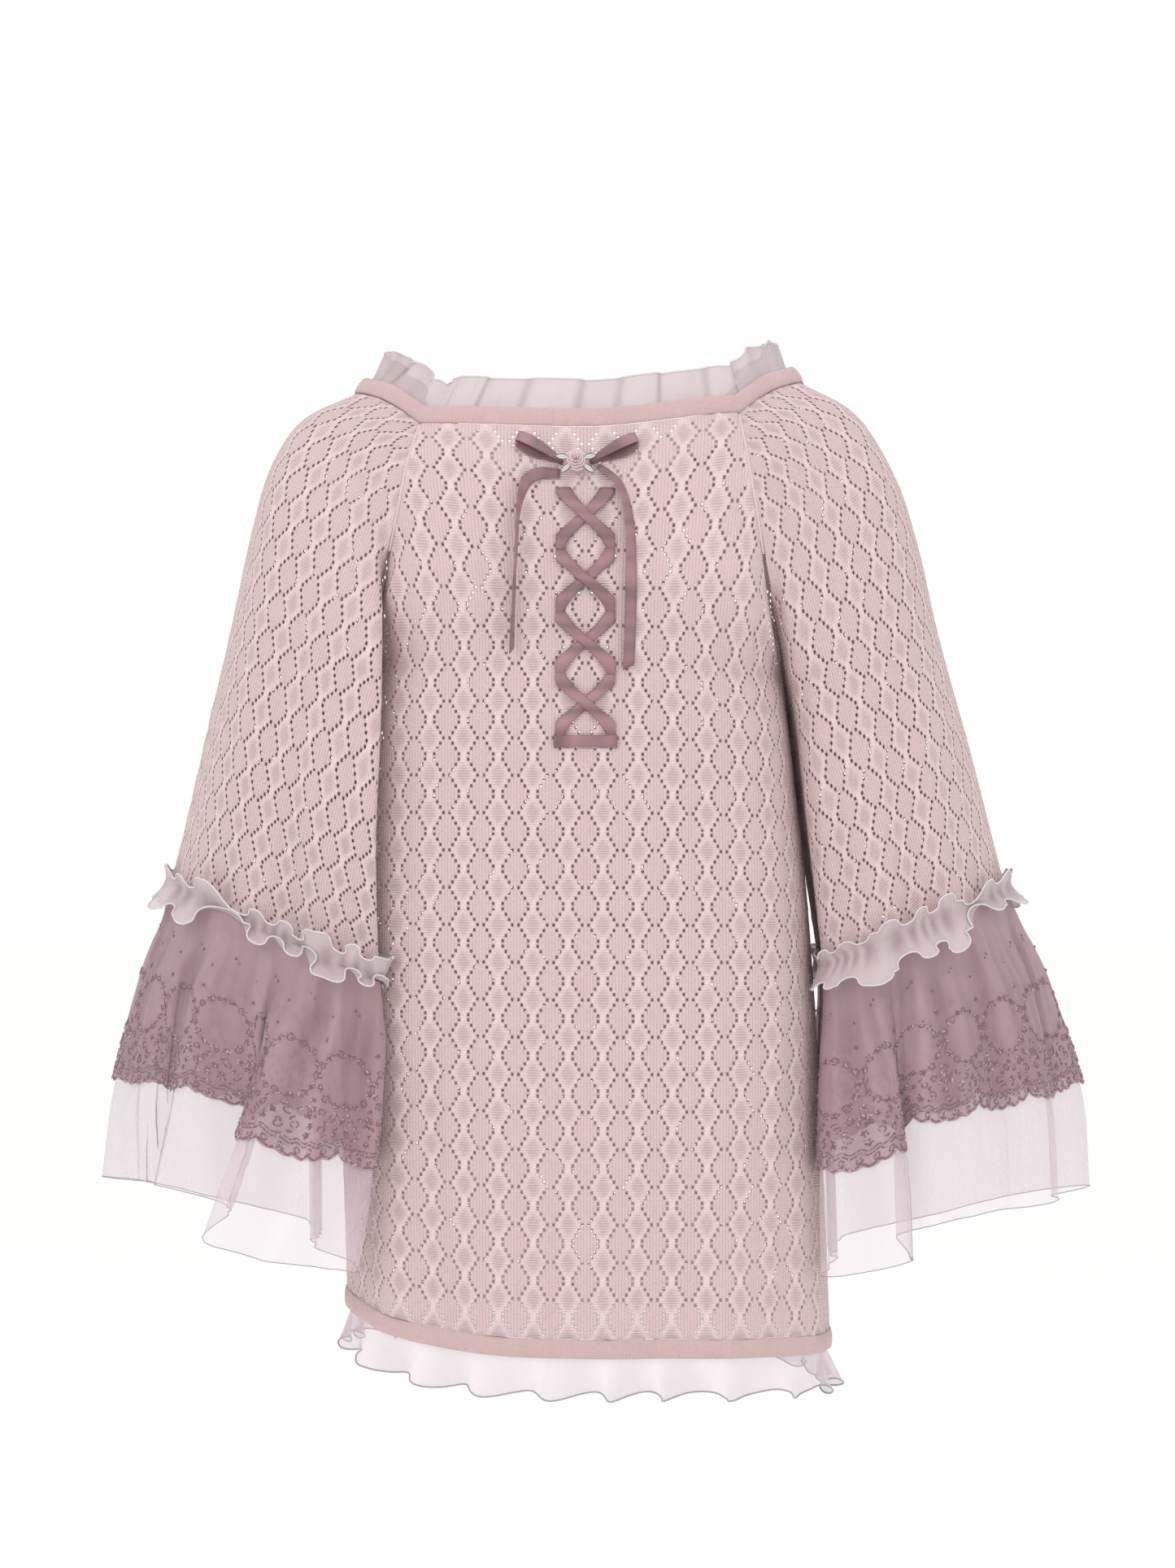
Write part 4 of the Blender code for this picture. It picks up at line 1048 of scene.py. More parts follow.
def band_frame(which):
    """The line, the way along the cloth, the way out of it and the foot of one of the two rib bands."""
    left, right, back, front = (grids()[name] for name in ("sleeve_left", "sleeve_right", "back_panel", "front_panel"))
    if which == "neck":
        loop = smoothed_loop(np.vstack([back[0], left[0], front[0][::-1], right[0][::-1]]), BAND_POINTS)
        side = np.abs(loop[:, 0]) / np.abs(loop[:, 0]).max()
        lean = NECK_LEAN + (SHOULDER_LEAN - NECK_LEAN) * side**4
    else:
        loop = smoothed_loop(np.vstack([back[-1], front[-1][::-1]]), BAND_POINTS)
        lean = np.full(len(loop), -HEM_FLARE)
    out = level_out(loop)
    up = unit(np.array([0.0, 0.0, 1.0 if which == "neck" else -1.0]) - out * lean[:, None])
    return loop, up, out, BAND_FOOT * (1 + 2.2 * np.clip(lean, 0, 1) ** 2)


def rib_band(which, material):
    """A double rib band: a flattened tube round the edge of the knit, a little uneven."""
    loop, up, out, foot = band_frame(which)
    square = unit(out - up * np.sum(out * up, axis=1, keepdims=True))
    places = np.arange(len(loop)) / len(loop)
    ripple = 0.25 * np.sin(2 * np.pi * 9 * places + 0.6) + 0.18 * np.sin(2 * np.pi * 23 * places)
    grid = []
    for turn in np.arange(BAND_SIDES) / BAND_SIDES * 2 * np.pi:
        along = -np.cos(turn)
        share = (np.sign(along) * abs(along) ** 0.8 + 1) / 2
        thick = BAND_WALL / 2 * np.sign(np.sin(turn)) * abs(np.sin(turn)) ** 0.7
        height = foot - 0.5 + (BAND_HEIGHT + 1.0 - foot) * share
        off = BAND_BULGE * np.sin(np.pi * share) + thick + ripple * share
        grid.append(loop + up * height[:, None] + square * off[:, None])
    grid = np.transpose(np.array(grid), (1, 0, 2))
    run = np.arange(len(loop) + 1) / len(loop) * length_of(loop)
    around = run_of(np.vstack([grid[0], grid[0][:1]]))
    flat = mapped(around, run)[:, :, ::-1]
    thing = woven_piece(which + "_band_rib", [grid], [flat], (True, True))
    rework(thing.data, face_out)
    return finished(thing, material, which + "_band")


def meander(phase, steep, run):
    """Steps along and off a gathered edge, as a cord folded to and fro in even S-shapes would take them."""
    turn = steep * np.sin(phase)
    along = np.cumsum(np.cos(turn))
    along = along / along[-1] * run[-1] - run
    off = np.cumsum(np.sin(turn)) * (run[1] - run[0]) * len(run) / np.sum(np.cos(turn))
    off -= np.linspace(0, off[-1], len(off))
    return along - np.linspace(0, along[-1], len(along)), off - off.mean()


def at_height(rows, height):
    """The step, swing and rise of a gathered strip at a height or drop, the table's first column."""
    heights = next(iter(rows.values()))
    return (np.interp(height, heights, rows[key]) for key in ("step", "swing", "rise"))


def gathered(which, rows, waves, seed, extra, pleats):
    """Rows of a gathered strip, finer than the solid's, and the painted shade of each point: darker deep in its folds
    and in the gaps between its flat pleats.
    """
    loop, up, out, _ = band_frame(which)
    places = np.arange(RUFFLE_POINTS) / RUFFLE_POINTS
    fine = round_row(loop, places)
    tips = round_row(loop + up, places) - fine
    sides = round_row(loop + out, places) - fine
    along = along_row(fine)
    swing, lift = wave(places, waves, seed)
    small, _ = wave(places, extra, seed + 1.1)
    reach = np.abs(fine[:, 0]) / np.abs(fine[:, 0]).max()
    flat = (1 - step_in(reach, *PLEAT_REACH)) * bool(pleats)
    box, _ = wave(places, max(pleats, 1), 0.7)
    square = np.tanh(5.0 * box)
    pleat_gap_shade = np.exp(-((box / 0.22) ** 2))
    low, high = rows["height"][0], rows["height"][-1]
    grid, folds = [], []
    for height in np.linspace(low, high, RUFFLE_ROWS):
        step, size, rise = at_height(rows, height)
        share = (height - low) / (high - low)
        gather = np.exp(-share / 0.35)
        soft = size * swing + (SMALL_WAVE + 1.4 * gather * (share > 0)) * share * small
        side = soft * (1 - flat) + (PLEAT_DEPTH * square + 0.3 * soft) * flat
        overlap = PLEAT_LAP * share * np.sin(2 * np.arcsin(np.clip(box, -1, 1)))
        lean = GATHER_LEAN * size * lift * (1 - flat) - overlap * flat
        drop = height + rise * lift * (1 - flat) + PLEAT_RISE * share * square * flat
        grid.append(fine + tips * drop[:, None] + sides * (step + side)[:, None] + along * lean[:, None])
        # Painted shade for the colour: darker deep in the waves' folds and in the gaps between the flat pleats.
        folds.append((0.5 - 0.5 * swing) * (0.3 + 0.4 * share) * (1 - flat) + 0.7 * pleat_gap_shade * flat)
    return np.array(grid), np.array(folds)


def fine_flounce(sleeve, side, alongs, inset, count, waves):
    """Points of a flounce in closed rows that fall from the sleeve's last row in large folds and small waves."""
    places = np.arange(count) / count
    growth = step_in(alongs, *FOLDS_GROW)
    tuck = TUCK[side]
    turn = (places - tuck["around"]) / tuck["width"]
    slide = -tuck["slide"] * turn * np.exp(0.5 - turn * turn)
    step = np.tanh(2.0 * turn) * np.exp(-((turn / 4.0) ** 2))
    large = zip(*FLOUNCE_FOLDS.values())
    swing = sum(size * np.exp(-(((places - place) / width) ** 2)) for place, size, width in large)
    swing = swing * (1 - np.exp(-((turn / 2.2) ** 2))) - tuck["depth"] * step
    rows = [sleeve_row(side, along) for along in alongs]
    base = np.array([spaced(row, places) for row in rows])
    grid = np.array([spaced(row, places + slide * g) for row, g in zip(rows, growth)])
    joined = 1 - step_in(alongs, *CUFF_JOIN)
    joined[0] = 1.0
    grid += (round_row(sleeve[-1], places) - spaced(sleeve_row(side, 1.0), places)) * joined[:, None, None]
    small, lean = np.zeros((2, len(alongs), count))
    near = np.interp(alongs, *GATHER_GROWTH)
    for number, size, seed in waves:
        rise, push = wave(places, number, seed)
        fade = size * near * (1 - min(number / 60, 0.9) * step_in(alongs, *GATHERS_FADE))
        small += fade[:, None] * rise
        lean += GATHER_LEAN * fade[:, None] * push
    square = normals(base, closed=True)
    facing = 1.0 if np.sum((base - base.reshape(-1, 3).mean(axis=0)) * square) >= 0 else -1.0
    grid += facing * square * (swing[None, :] * growth[:, None] + small)[:, :, None]
    grid += np.array([along_row(row) for row in grid]) * lean[:, :, None]
    grid[:, :, 2] += tuck["rise"] * step[None, :] * growth[:, None]
    # Painted shade for the colour: darker in the troughs of the small gathers.
    folds = np.clip(0.5 - small / (2.2 * np.abs(small).max() + 1e-9), 0, 1) * np.minimum(near, 1)[:, None]
    sink = inset[0] + (inset[1] - inset[0]) * step_in(alongs, *INSET_GROWS)
    return grid - facing * normals(grid, closed=True) * sink[:, None, None], facing, folds


def scalloped(grid):
    """A flounce whose lower edge hangs in one wide scallop to each wreath, each with small lobes."""
    wreaths = wreath_count(length_of(grid[-1]))
    places = np.arange(grid.shape[1]) / grid.shape[1]
    wide = np.abs(np.sin(np.pi * places * wreaths)) ** 0.7
    small = np.abs(np.sin(np.pi * places * wreaths * SCALLOPS_TO_WREATH))
    fall = grid[-1] - grid[-6]
    fall /= np.linalg.norm(fall, axis=1, keepdims=True)
    share = step_in(np.linspace(0, 1, len(grid)), 0.45, 1.0)
    drop = SCALLOP_DROP * (wide - 0.8) + SMALL_SCALLOP * small
    return grid + fall[None] * (share[:, None] * drop[None, :])[:, :, None]


def fine_heading(sleeve, lace, seed):
    """The gathered heading of a cuff, finer than its solid, with small pinched waves."""
    steps = np.diff(run_of(np.vstack([sleeve[-1], sleeve[-1][:1]])))
    crease = steps[: round(BACK_FOLD_AT * (sleeve.shape[1] - 1))].sum() / steps.sum()
    coarse = HEADING_CELLS * HEADING_WAVES
    shares = np.arange(HEADING_POINTS) / HEADING_POINTS
    places = (shares * coarse - round(crease * coarse)) / coarse + crease
    _, lift = wave(places, HEADING_WAVES, seed)
    free = 1.0 - np.exp(-((np.minimum(abs(places), abs(1 - places)) / 0.11) ** 2))
    knit, seam = (np.array([round_row(row, places) for row in rows]) for rows in (sleeve[-2:], lace[:2]))
    run = shares * length_of(seam[0])
    turns = 2 * np.pi * places
    shift = 1.6 * np.sin(3 * turns + seed) + 0.9 * np.sin(8 * turns + 2 * seed)
    uneven = 0.86 + 0.16 * np.sin(5 * turns + seed) * np.sin(9 * turns)
    grid, folds = [], []
    for drop in np.linspace(HEADING["drop"][0], HEADING["drop"][-1], HEADING_ROWS):
        step, _, rise = at_height(HEADING, drop)
        share = step_in(drop, -2.5, 2.5)
        edge = (abs(drop) / 10.0) ** 0.8
        phase = HEADING_WAVES_BY_EDGE[int(drop > 0)] * turns + shift
        lean, off = meander(phase, HEADING_STEEP * edge * uneven, run)
        size_of_off = np.abs(off).max() + 1e-6
        rows = []
        for near, foot in ((knit, knit[1]), (seam, seam[0])):
            fall = unit(near[1] - near[0])
            square = outward(near, normals(near, closed=True))[0]
            calm = free * (0.25 + 0.75 * np.abs(square[:, 1]))
            raised = HEADING_INNER + (step - HEADING_INNER) * free + (0.22 * size_of_off + 0.26 * off) * calm
            fallen = drop + rise * lift * 0.3 + 0.48 * off * np.sign(drop) * calm
            move = along_row(foot) * (lean * calm)[:, None]
            rows.append(foot + square * raised[:, None] + fall * fallen[:, None] + move)
        grid.append(rows[0] * (1 - share) + rows[1] * share)
        # Painted shade: darker where the cloth folds in, and short dark pleats near the middle seam that the points
        # themselves don't have.
        pinch_shade = np.exp(-((drop / 6.0) ** 2)) * (0.5 + 0.5 * np.sin(34 * turns + 4 * shift))
        folds.append(np.clip(0.2 - 0.5 * off / size_of_off * edge + 0.8 * pinch_shade, 0, 1.1))
    return np.array(grid), np.array(folds)


class Tube:
    """A closed cloth as a place round it, from 0 to 1, and millimetres up from its lower edge."""

    def __init__(self, grid, facing):
        both = np.concatenate([grid, facing * normals(grid, closed=True)], axis=2)
        self.both = np.concatenate([both, both[:, :1]], axis=1)
        lengths = np.linalg.norm(np.diff(grid, axis=0), axis=2).mean(axis=1)
        self.down = np.concatenate([[0], np.cumsum(lengths)])
        self.down -= self.down[-1]
        self.round = np.array([length_of(row) for row in grid])

    def at(self, place, up):
        """Places on the cloth and the directions out of it."""
        i = np.interp(-np.asarray(up), self.down, np.arange(len(self.down)))
        both = between(self.both, i, np.mod(place, 1.0) * (self.both.shape[1] - 1))
        return both[..., :3], both[..., 3:]

    def girth(self, up):
        return np.interp(-np.asarray(up), self.down, self.round)


class Stitches:
    """Raised embroidery gathered into one mesh: florets, leaves, dots and cords on a tube of cloth."""

    def __init__(self, tube):
        self.tube = tube
        self.points, self.faces, self.count = [], [], 0

    def add(self, across, up, height, faces, place):
        """A motif given by millimetres across and up from a place on the cloth, and its height off it."""
        spots, square = self.tube.at(place + across / self.tube.girth(up), up)
        self.points.append(spots + square * height[..., None])
        self.faces += [tuple(self.count + n for n in face) for face in faces]
        self.count += len(across)

    def floret(self, place, across, up, reach, turn, petals=5):
        """Petals round a small raised eye."""
        angles = turn + np.arange(2 * petals) * np.pi / petals
        size = np.where(np.arange(2 * petals) % 2 == 0, reach, reach * 0.56)
        x = np.concatenate([[0], 0.42 * size * np.cos(angles), size * np.cos(angles)])
        y = np.concatenate([[0], 0.42 * size * np.sin(angles), size * np.sin(angles)])
        h = np.concatenate([[0.45], np.full(2 * petals, 1.0), np.full(2 * petals, 0.15)])
        n = 2 * petals
        faces = [(0, 1 + k, 1 + (k + 1) % n) for k in range(n)]
        faces += [(1 + k, 1 + n + k, 1 + n + (k + 1) % n, 1 + (k + 1) % n) for k in range(n)]
        self.add(across + x, up + y, h, faces, place)

    def loop(self, place, across, up, reach):
        """A small stitched ring with an open middle."""
        turns = np.linspace(0, 2 * np.pi, 9)
        self.cord(place, across + reach * np.cos(turns), up + reach * np.sin(turns), 0.5, 0.7)

    def leaf(self, place, across, up, length, turn):
        """A pointed leaf with a raised middle."""
        t = np.array([0.0, 0.3, 0.65, 1.0])
        w = length * np.array([0.0, 0.24, 0.2, 0.0])
        x = np.concatenate([t * length, t[1:3] * length, t[1:3] * length])
        y = np.concatenate([np.zeros(4), w[1:3], -w[1:3]])
        h = np.concatenate([[0.15, 0.85, 0.75, 0.15], np.full(4, 0.12)])
        px = across + x * np.cos(turn) - y * np.sin(turn)
        py = up + x * np.sin(turn) + y * np.cos(turn)
        faces = [(0, 1, 4), (1, 2, 5, 4), (2, 3, 5), (1, 0, 6), (2, 1, 6, 7), (3, 2, 7)]
        self.add(px, py, h, [face[::-1] for face in faces], place)

    def cord(self, place, x, y, half, height=0.8):
        """A raised cord along a line of places."""
        step_x, step_y = np.gradient(x), np.gradient(y)
        size = np.maximum(np.hypot(step_x, step_y), 1e-9)
        nx, ny = -step_y / size * half, step_x / size * half
        n = len(x)
        px = np.concatenate([x + nx, x, x - nx])
        py = np.concatenate([y + ny, y, y - ny])
        h = np.concatenate([np.full(n, 0.1), np.full(n, height), np.full(n, 0.1)])
        faces = []
        for k in range(n - 1):
            faces += [(k, k + 1, n + k + 1, n + k), (n + k, n + k + 1, 2 * n + k + 1, 2 * n + k)]
        self.add(px, py, h, [face[::-1] for face in faces], place)

    def finish(self, name):
        thing = smooth_piece(name, np.vstack(self.points), self.faces)
        thing.data.validate()
        return thing


def embroider(name, tube):
    """The border of a lace flounce: a corded edge, wreaths of florets, and sprigs and dots above them."""
    work = Stitches(tube)
    wreaths = wreath_count(tube.round[-1])
    scallops = wreaths * SCALLOPS_TO_WREATH
    around = np.linspace(0, 1, scallops * 8 + 1)
    lobes = np.abs(np.sin(np.pi * around * scallops))
    for up, rise, half in ((0.9, 1.4, 0.8), (8.0, 1.2, 0.55), (10.4, 1.2, 0.45)):
        line = up + rise * lobes
        work.cord(0.0, around * tube.girth(line[0]), line, half, 0.7)
    for k in range(scallops):
        work.loop((k + 0.5) / scallops, 0.0, 5.2, 1.7)
    turns = np.linspace(0, 2 * np.pi, 41)
    for k in range(wreaths):
        place = (k + 0.5) / wreaths
        between = (k + 1.0) / wreaths
        high = WREATH_HEIGHT
        work.cord(place, WREATH_REACH * np.cos(turns), high + 1.1 * WREATH_REACH * np.sin(turns), 0.3, 0.4)
        for n in range(WREATH_FLORETS):
            turn = 2 * np.pi * n / WREATH_FLORETS + 0.2 * (k % 2)
            x, y = WREATH_REACH * np.cos(turn), 1.1 * WREATH_REACH * np.sin(turn)
            if n % 2:
                work.loop(place, x, high + y, 2.2)
            else:
                work.floret(place, x, high + y, 2.7, turn)
        for n, (x, y, reach) in enumerate(UNDER_WREATH):
            if n % 3:
                work.loop(place, x, y, 0.8 * reach)
            else:
                work.floret(place, x, y, reach, 0.7 * n)
        for n, (x, y, length, turn) in enumerate(WREATH_LEAVES):
            work.leaf(place, x, y, length, turn)
            work.leaf(place, -x, y, length, np.pi - turn)
        for n, (up, reach) in enumerate(((15.5, 3.0), (21.5, 2.6), (27.5, 2.2), (76.0, 2.0))):
            work.floret(between, 0.7 * (-1) ** n, up, reach, n)
        for lean in (0.55, 1.15, 1.99, 2.59):
            work.leaf(between, 0.0, 30.0, 5.5, lean)
        for x in (-1.6, 1.6):
            work.floret(place, x, 101.0 + 0.7 * x, 1.1, x)
        work.floret(between, 0.0, 92.0, 1.1, 0.5)
    return work.finish(name)


def wreath_count(girth):
    return int(round(girth / WREATH_PITCH))


class Ground:
    """The depth of the back panel over its middle, so that ribbons can be laid on it."""

    def __init__(self, grid):
        self.xs = np.arange(-72.0, 73.0)
        self.zs = np.arange(-262.0, -30.0)
        ys, zs = (np.array([np.interp(self.xs, row[:, 0], row[:, k]) for row in grid]) for k in (1, 2))
        self.depth = np.array([np.interp(-self.zs, -zs[:, k], ys[:, k]) for k in range(len(self.xs))]).T[..., None]

    def level(self, x, z):
        return between(self.depth, z - self.zs[0], x - self.xs[0])[..., 0]

    def at(self, x, z, lift):
        """Places a lift above the cloth."""
        x, z, lift = (np.asarray(a, float) for a in np.broadcast_arrays(x, z, lift))
        slope_x = (self.level(x + 2, z) - self.level(x - 2, z)) / 4
        slope_z = (self.level(x, z + 2) - self.level(x, z - 2)) / 4
        self.square = unit(np.stack([-slope_x, np.ones_like(x), -slope_z], axis=-1))
        return np.stack([x, self.level(x, z), z], axis=-1) + self.square * lift[..., None]


def walled(thing, wall):
    """Give a sheet its thin wall, with only that piece selected, and face it out."""
    solid = thing.modifiers.new("wall", "SOLIDIFY")
    solid.thickness = wall * MM
    solid.offset = 0.0
    bpy.ops.object.select_all(action="DESELECT")
    thing.select_set(True)
    bpy.context.view_layer.objects.active = thing
    bpy.ops.object.modifier_apply(modifier=solid.name)
    rework(thing.data, face_out)


def ribbon(name, grid, material, folds=None):
    """A satin ribbon from a grid of points, rows along it, in the place of its solid."""
    rows, columns = grid.shape[:2]
    flat = mapped(run_of(grid[rows // 2]), run_of(grid[:, columns // 2]))
    # Painted shade at both ends of a ribbon, where it tucks under.
    ends = 0.7 * np.abs(np.linspace(-1, 1, rows)[:, None]) ** 4 + np.zeros(columns)
    thing = woven_piece(name + "_satin", [grid], [flat], paints={"fold": ends if folds is None else folds})
    walled(thing, RIBBON_SHEET)
    return finished(thing, material, name)


def fine_lacing(ground, material):
    """The crossed ribbon: each stretch runs from turn to turn and folds over itself at the outer edge."""
    share = np.linspace(-1, 1, RIBBON_COLUMNS)[None, :]
    t = np.linspace(-LACING_TUCK, 1 + LACING_TUCK, RIBBON_ROWS)[:, None]
    for k, (top, bottom) in enumerate(zip(LACING_TURNS, LACING_TURNS[1:])):
        spread = LACING_TOP_SPREAD if k == 0 else LACING_SPREAD
        straight = spread * (1 - t) - LACING_SPREAD * t
        bowed = (spread + LACING_SPREAD) / 2 * np.cos(np.pi * t) + (spread - LACING_SPREAD) / 2
        middle = LACING_STRAIGHT * straight + (1 - LACING_STRAIGHT) * bowed
        crossing = LACING_CROSS * step_in(t, 0.05, 0.30) * (1 - step_in(t, 0.70, 0.95))
        for strand, out in (("over", 1.0), ("under", -1.0)):
            x = np.clip(out * middle + LACING_HALF * share, -LACING_REACH, LACING_REACH)
            tucked = 0.8 * step_in(t, -0.05, 0.06) - 0.8
            uneven = 0.18 * np.sin(9 * t + 2.0 * k + out)
            crown = RIBBON_CROWN * (1 - share**2)
            lift = RIBBON_LIFT + (strand == "over") * crossing + crown + tucked + uneven
            z = top + (bottom - top) * t + 0.8 * out * share * np.sin(np.pi * t)
            ribbon("lacing_%s_%d" % (strand, k + 1), ground.at(x, z, lift), material)
    x = np.linspace(-FOOT_REACH, FOOT_REACH, RIBBON_ROWS)[:, None]
    flare = 1 + 0.12 * (abs(x) / FOOT_REACH) ** 6
    z = FOOT_TOP - FOOT_HEIGHT / 2 * (1 + flare * share)
    lift = RIBBON_LIFT + 0.7 * (1 - share**2) + 0.3 * np.cos(np.pi * x / 9.0)
    ribbon("lacing_foot", ground.at(x, z, lift), material)


def fine_bow(ground, material):
    """The bow's loops and tails, each a ribbon with a slight crown."""
    share = np.linspace(-1, 1, RIBBON_COLUMNS)
    for side, (root_x, root_z, tip_x, tip_z, tilt) in BOW_LOOPS.items():
        t = np.linspace(0, 1, RIBBON_ROWS)[:, None]
        reach = np.sin(np.pi * t) ** 0.8
        x = root_x + (tip_x - root_x) * reach
        open_by = BOW_OPEN * np.sin(np.pi * reach**1.5 * 0.72) * np.sign(t - 0.5)
        z = root_z + (tip_z - root_z) * reach + open_by
        crown = RIBBON_CROWN * (1 - share[None, :] ** 2) * reach
        lift = RIBBON_LIFT + BOW_LOOP_HEIGHT * (1 - np.cos(np.pi * t)) / 2 + crown * np.sign(t - 0.5)
        half = BOW_LOOP_HALF * (0.35 + 0.5 * np.sin(np.pi * reach**1.3 * 0.7)) * share[None, :]
        grid = ground.at(x + half * np.sin(tilt), z + half * np.cos(tilt), lift)
        # Painted shade on the lower half of each loop, under its upper half, and towards the knot.
        inner = (1 - step_in(t, 0.4, 0.6)) + 0.5 * (1 - reach) + 0 * share[None, :]
        ribbon("bow_loop_" + side, grid, material, np.clip(inner, 0, 1))
    for side, rows in BOW_TAILS.items():
        grid = []
        for t in np.linspace(0, 1, RIBBON_ROWS):
            x, z, half, twist = (read(rows, column, t) for column in ("x", "z", "half", "twist"))
            near = max(0.0, 1 - t / 0.12)
            ahead, behind = min(t + 0.02, 1.0), max(t - 0.02, 0.0)
            run = np.array([read(rows, column, ahead) - read(rows, column, behind) for column in ("x", "z")])
            run *= half / np.linalg.norm(run)
            turn = np.radians(twist)
            level = RIBBON_LIFT + half * np.sin(turn) * (1 + share) + 0.4 * (1 - share**2)
            px = x + TAIL_ROOT[side][0] * near - share * run[1] * np.cos(turn)
            pz = z + TAIL_ROOT[side][1] * near + share * run[0] * np.cos(turn) - 2.0 * share * (t == 1.0)
            grid.append(ground.at(px, pz, level))
        ribbon("bow_tail_" + side, np.array(grid), material)


def fine_rose(ground, material, leaf_cloth):
    """A rolled cloth rose: a bud in the middle and rounds of petals whose edges turn out, with its leaves."""
    centre = ground.at(ROSE_X, ROSE_Z, ROSE_LIFT)
    square = ground.square
    across = unit(np.cross(square, np.array([0.0, 0.0, 1.0])))
    upward = np.cross(across, square)
    petals, painted_petal_shade = [], []
    s = np.linspace(-1, 1, 9)[None, :]
    t = np.linspace(0, 1, 7)[:, None]
    for number, foot, reach, low, high, first, curl in ROSE_PETALS:
        for n in range(number):
            turn = first + 2 * np.pi * n / number
            angle = turn + np.pi / number * 1.25 * s * (0.75 + 0.25 * t) + 0.10 * t
            radius = foot + (reach - foot) * t ** (1.4 - 0.4 * curl) * (1 - 0.10 * s**2) + 0.5 * s * t
            height = low + (high - low) * np.sin(np.minimum(t * (1.0 + curl), 1.5)) * (1 - 0.10 * s**4)
            height = height - curl * 1.8 * np.maximum(t - 0.6, 0) ** 1.2
            x, y, height = (a[..., None] for a in (radius * np.cos(angle), radius * np.sin(angle), height))
            petals.append(centre + x * across + y * upward + height * square)
            # Painted shade: each petal darker towards its foot, deep in the rose.
            painted_petal_shade.append(np.clip(1.25 - 1.3 * t + 0 * s, 0, 1))
    rose = woven_piece("rose_petals", petals, paints={"fold": painted_petal_shade})
    walled(rose, PETAL_SHEET)
    finished(rose, material, "rose")
    t = np.linspace(0, 1, 9)[:, None]
    s = np.linspace(-1, 1, 5)[None, :]
    half = LEAF_HALF * np.sin(np.pi * np.clip(0.06 + 0.94 * t, 0, 1)) ** 0.8
    for k, turn in enumerate(np.radians(LEAF_TURNS)):
        root = ROSE_WIDEST * (1 + LOBE_DEPTH * np.cos(ROSE_LOBES * turn)) - 2.0
        reach = root + t * (LEAF_LENGTH + 2.0)
        x = ROSE_X + reach * np.cos(turn) - s * half * np.sin(turn)
        z = ROSE_Z + reach * np.sin(turn) + s * half * np.cos(turn)
        grid = ground.at(x, z, LEAF_LIFT + 0.5 * np.abs(s) - 1.2 * t * t)
        name = "leaf_%d" % (k + 1)
        leaf = woven_piece(name + "_cloth", [grid], [mapped((s[0] + 1) / 2, t[:, 0])])
        walled(leaf, PETAL_SHEET)
        finished(leaf, leaf_cloth, name)


class Value:
    """A number or colour in a material's nodes. A sum on it adds the node that works the sum out."""

    def __init__(self, cloth, socket):
        self.cloth = cloth
        self.socket = socket

    def maths(self, operation, *others):
        return self.cloth.add("ShaderNodeMath", dict(enumerate((self, *others))), operation=operation)

    def __add__(self, other):
        return self.maths("ADD", other)

    def __sub__(self, other):
        return self.maths("SUBTRACT", other)

    def __mul__(self, other):
        return self.maths("MULTIPLY", other)

    def __pow__(self, other):
        return self.maths("POWER", other)

    def __abs__(self):
        return self.maths("ABSOLUTE")

    def __gt__(self, other):
        return self.maths("GREATER_THAN", other)

    def waves(self, pitch):
        """Even waves from -1 to 1, a pitch apart."""
        return (self * (2 * np.pi / pitch)).maths("COSINE")


class Cloth:
    """A material in the making, with the numbers that are the same all over set on its shader."""

    def __init__(self, name, roughness, sheen=0.0, sheen_roughness=0.5, alpha=1.0, specular=0.3, anisotropic=0.0):
        self.material = bpy.data.materials.new(name)
        self.material.use_nodes = True
        self.tree = self.material.node_tree
        self.shader = self.tree.nodes["Principled BSDF"]
        keys = ("Roughness", "Sheen Weight", "Sheen Roughness", "Alpha", "Specular IOR Level", "Anisotropic")
        for key, value in zip(keys, (roughness, sheen, sheen_roughness, alpha, specular, anisotropic)):
            self.shader.inputs[key].default_value = value

    def add(self, kind, inputs=None, out=0, **settings):
        """Add a node with its settings and links, and give one of its outputs."""
        made = self.tree.nodes.new(kind)
        for key, value in settings.items():
            setattr(made, key, value)
        for key, value in (inputs or {}).items():
            if isinstance(value, Value):
                self.tree.links.new(value.socket, made.inputs[key])
            else:
                made.inputs[key].default_value = value
        return Value(self, made.outputs[out])

    def flat(self):
        """The two numbers of the piece's own flat map."""
        place = self.add("ShaderNodeUVMap", uv_map="flat")
        return [self.add("ShaderNodeSeparateXYZ", {0: place}, out) for out in (0, 1)]

    def painted(self, name):
        """A value painted on the piece's points."""
        return self.add("ShaderNodeAttribute", out="Fac", attribute_name=name)

    def noise(self, size, detail=3.0):
        """Soft noise with blotches of a real size in millimetres, on the object's own place."""
        place = self.add("ShaderNodeTexCoord", out="Object")
        return self.add("ShaderNodeTexNoise", {"Vector": place, "Scale": 1 / (size * MM), "Detail": detail})

    def mix(self, share, first, second):
        """Two colours mixed; the second is plain."""
        first = first if isinstance(first, Value) else (*first, 1.0)
        return self.add("ShaderNodeMix", {0: share, 6: first, 7: (*second, 1.0)}, 2, data_type="RGBA")

    def done(self, tone, height=None, distance=0.0, strength=1.0):
        """The material with its colour and, where it has one, its relief in millimetres."""
        self.tree.links.new(tone.socket, self.shader.inputs["Base Color"])
        if height is not None:
            bump = self.add("ShaderNodeBump", {"Height": height, "Distance": distance * MM, "Strength": strength})
            self.tree.links.new(bump.socket, self.shader.inputs["Normal"])
        return self.material


def toned(colour, *shares):
    """A colour with its parts multiplied, all by one number or each by its own."""
    return tuple(min(1.0, c * s) for c, s in zip(colour, shares * (3 // len(shares))))


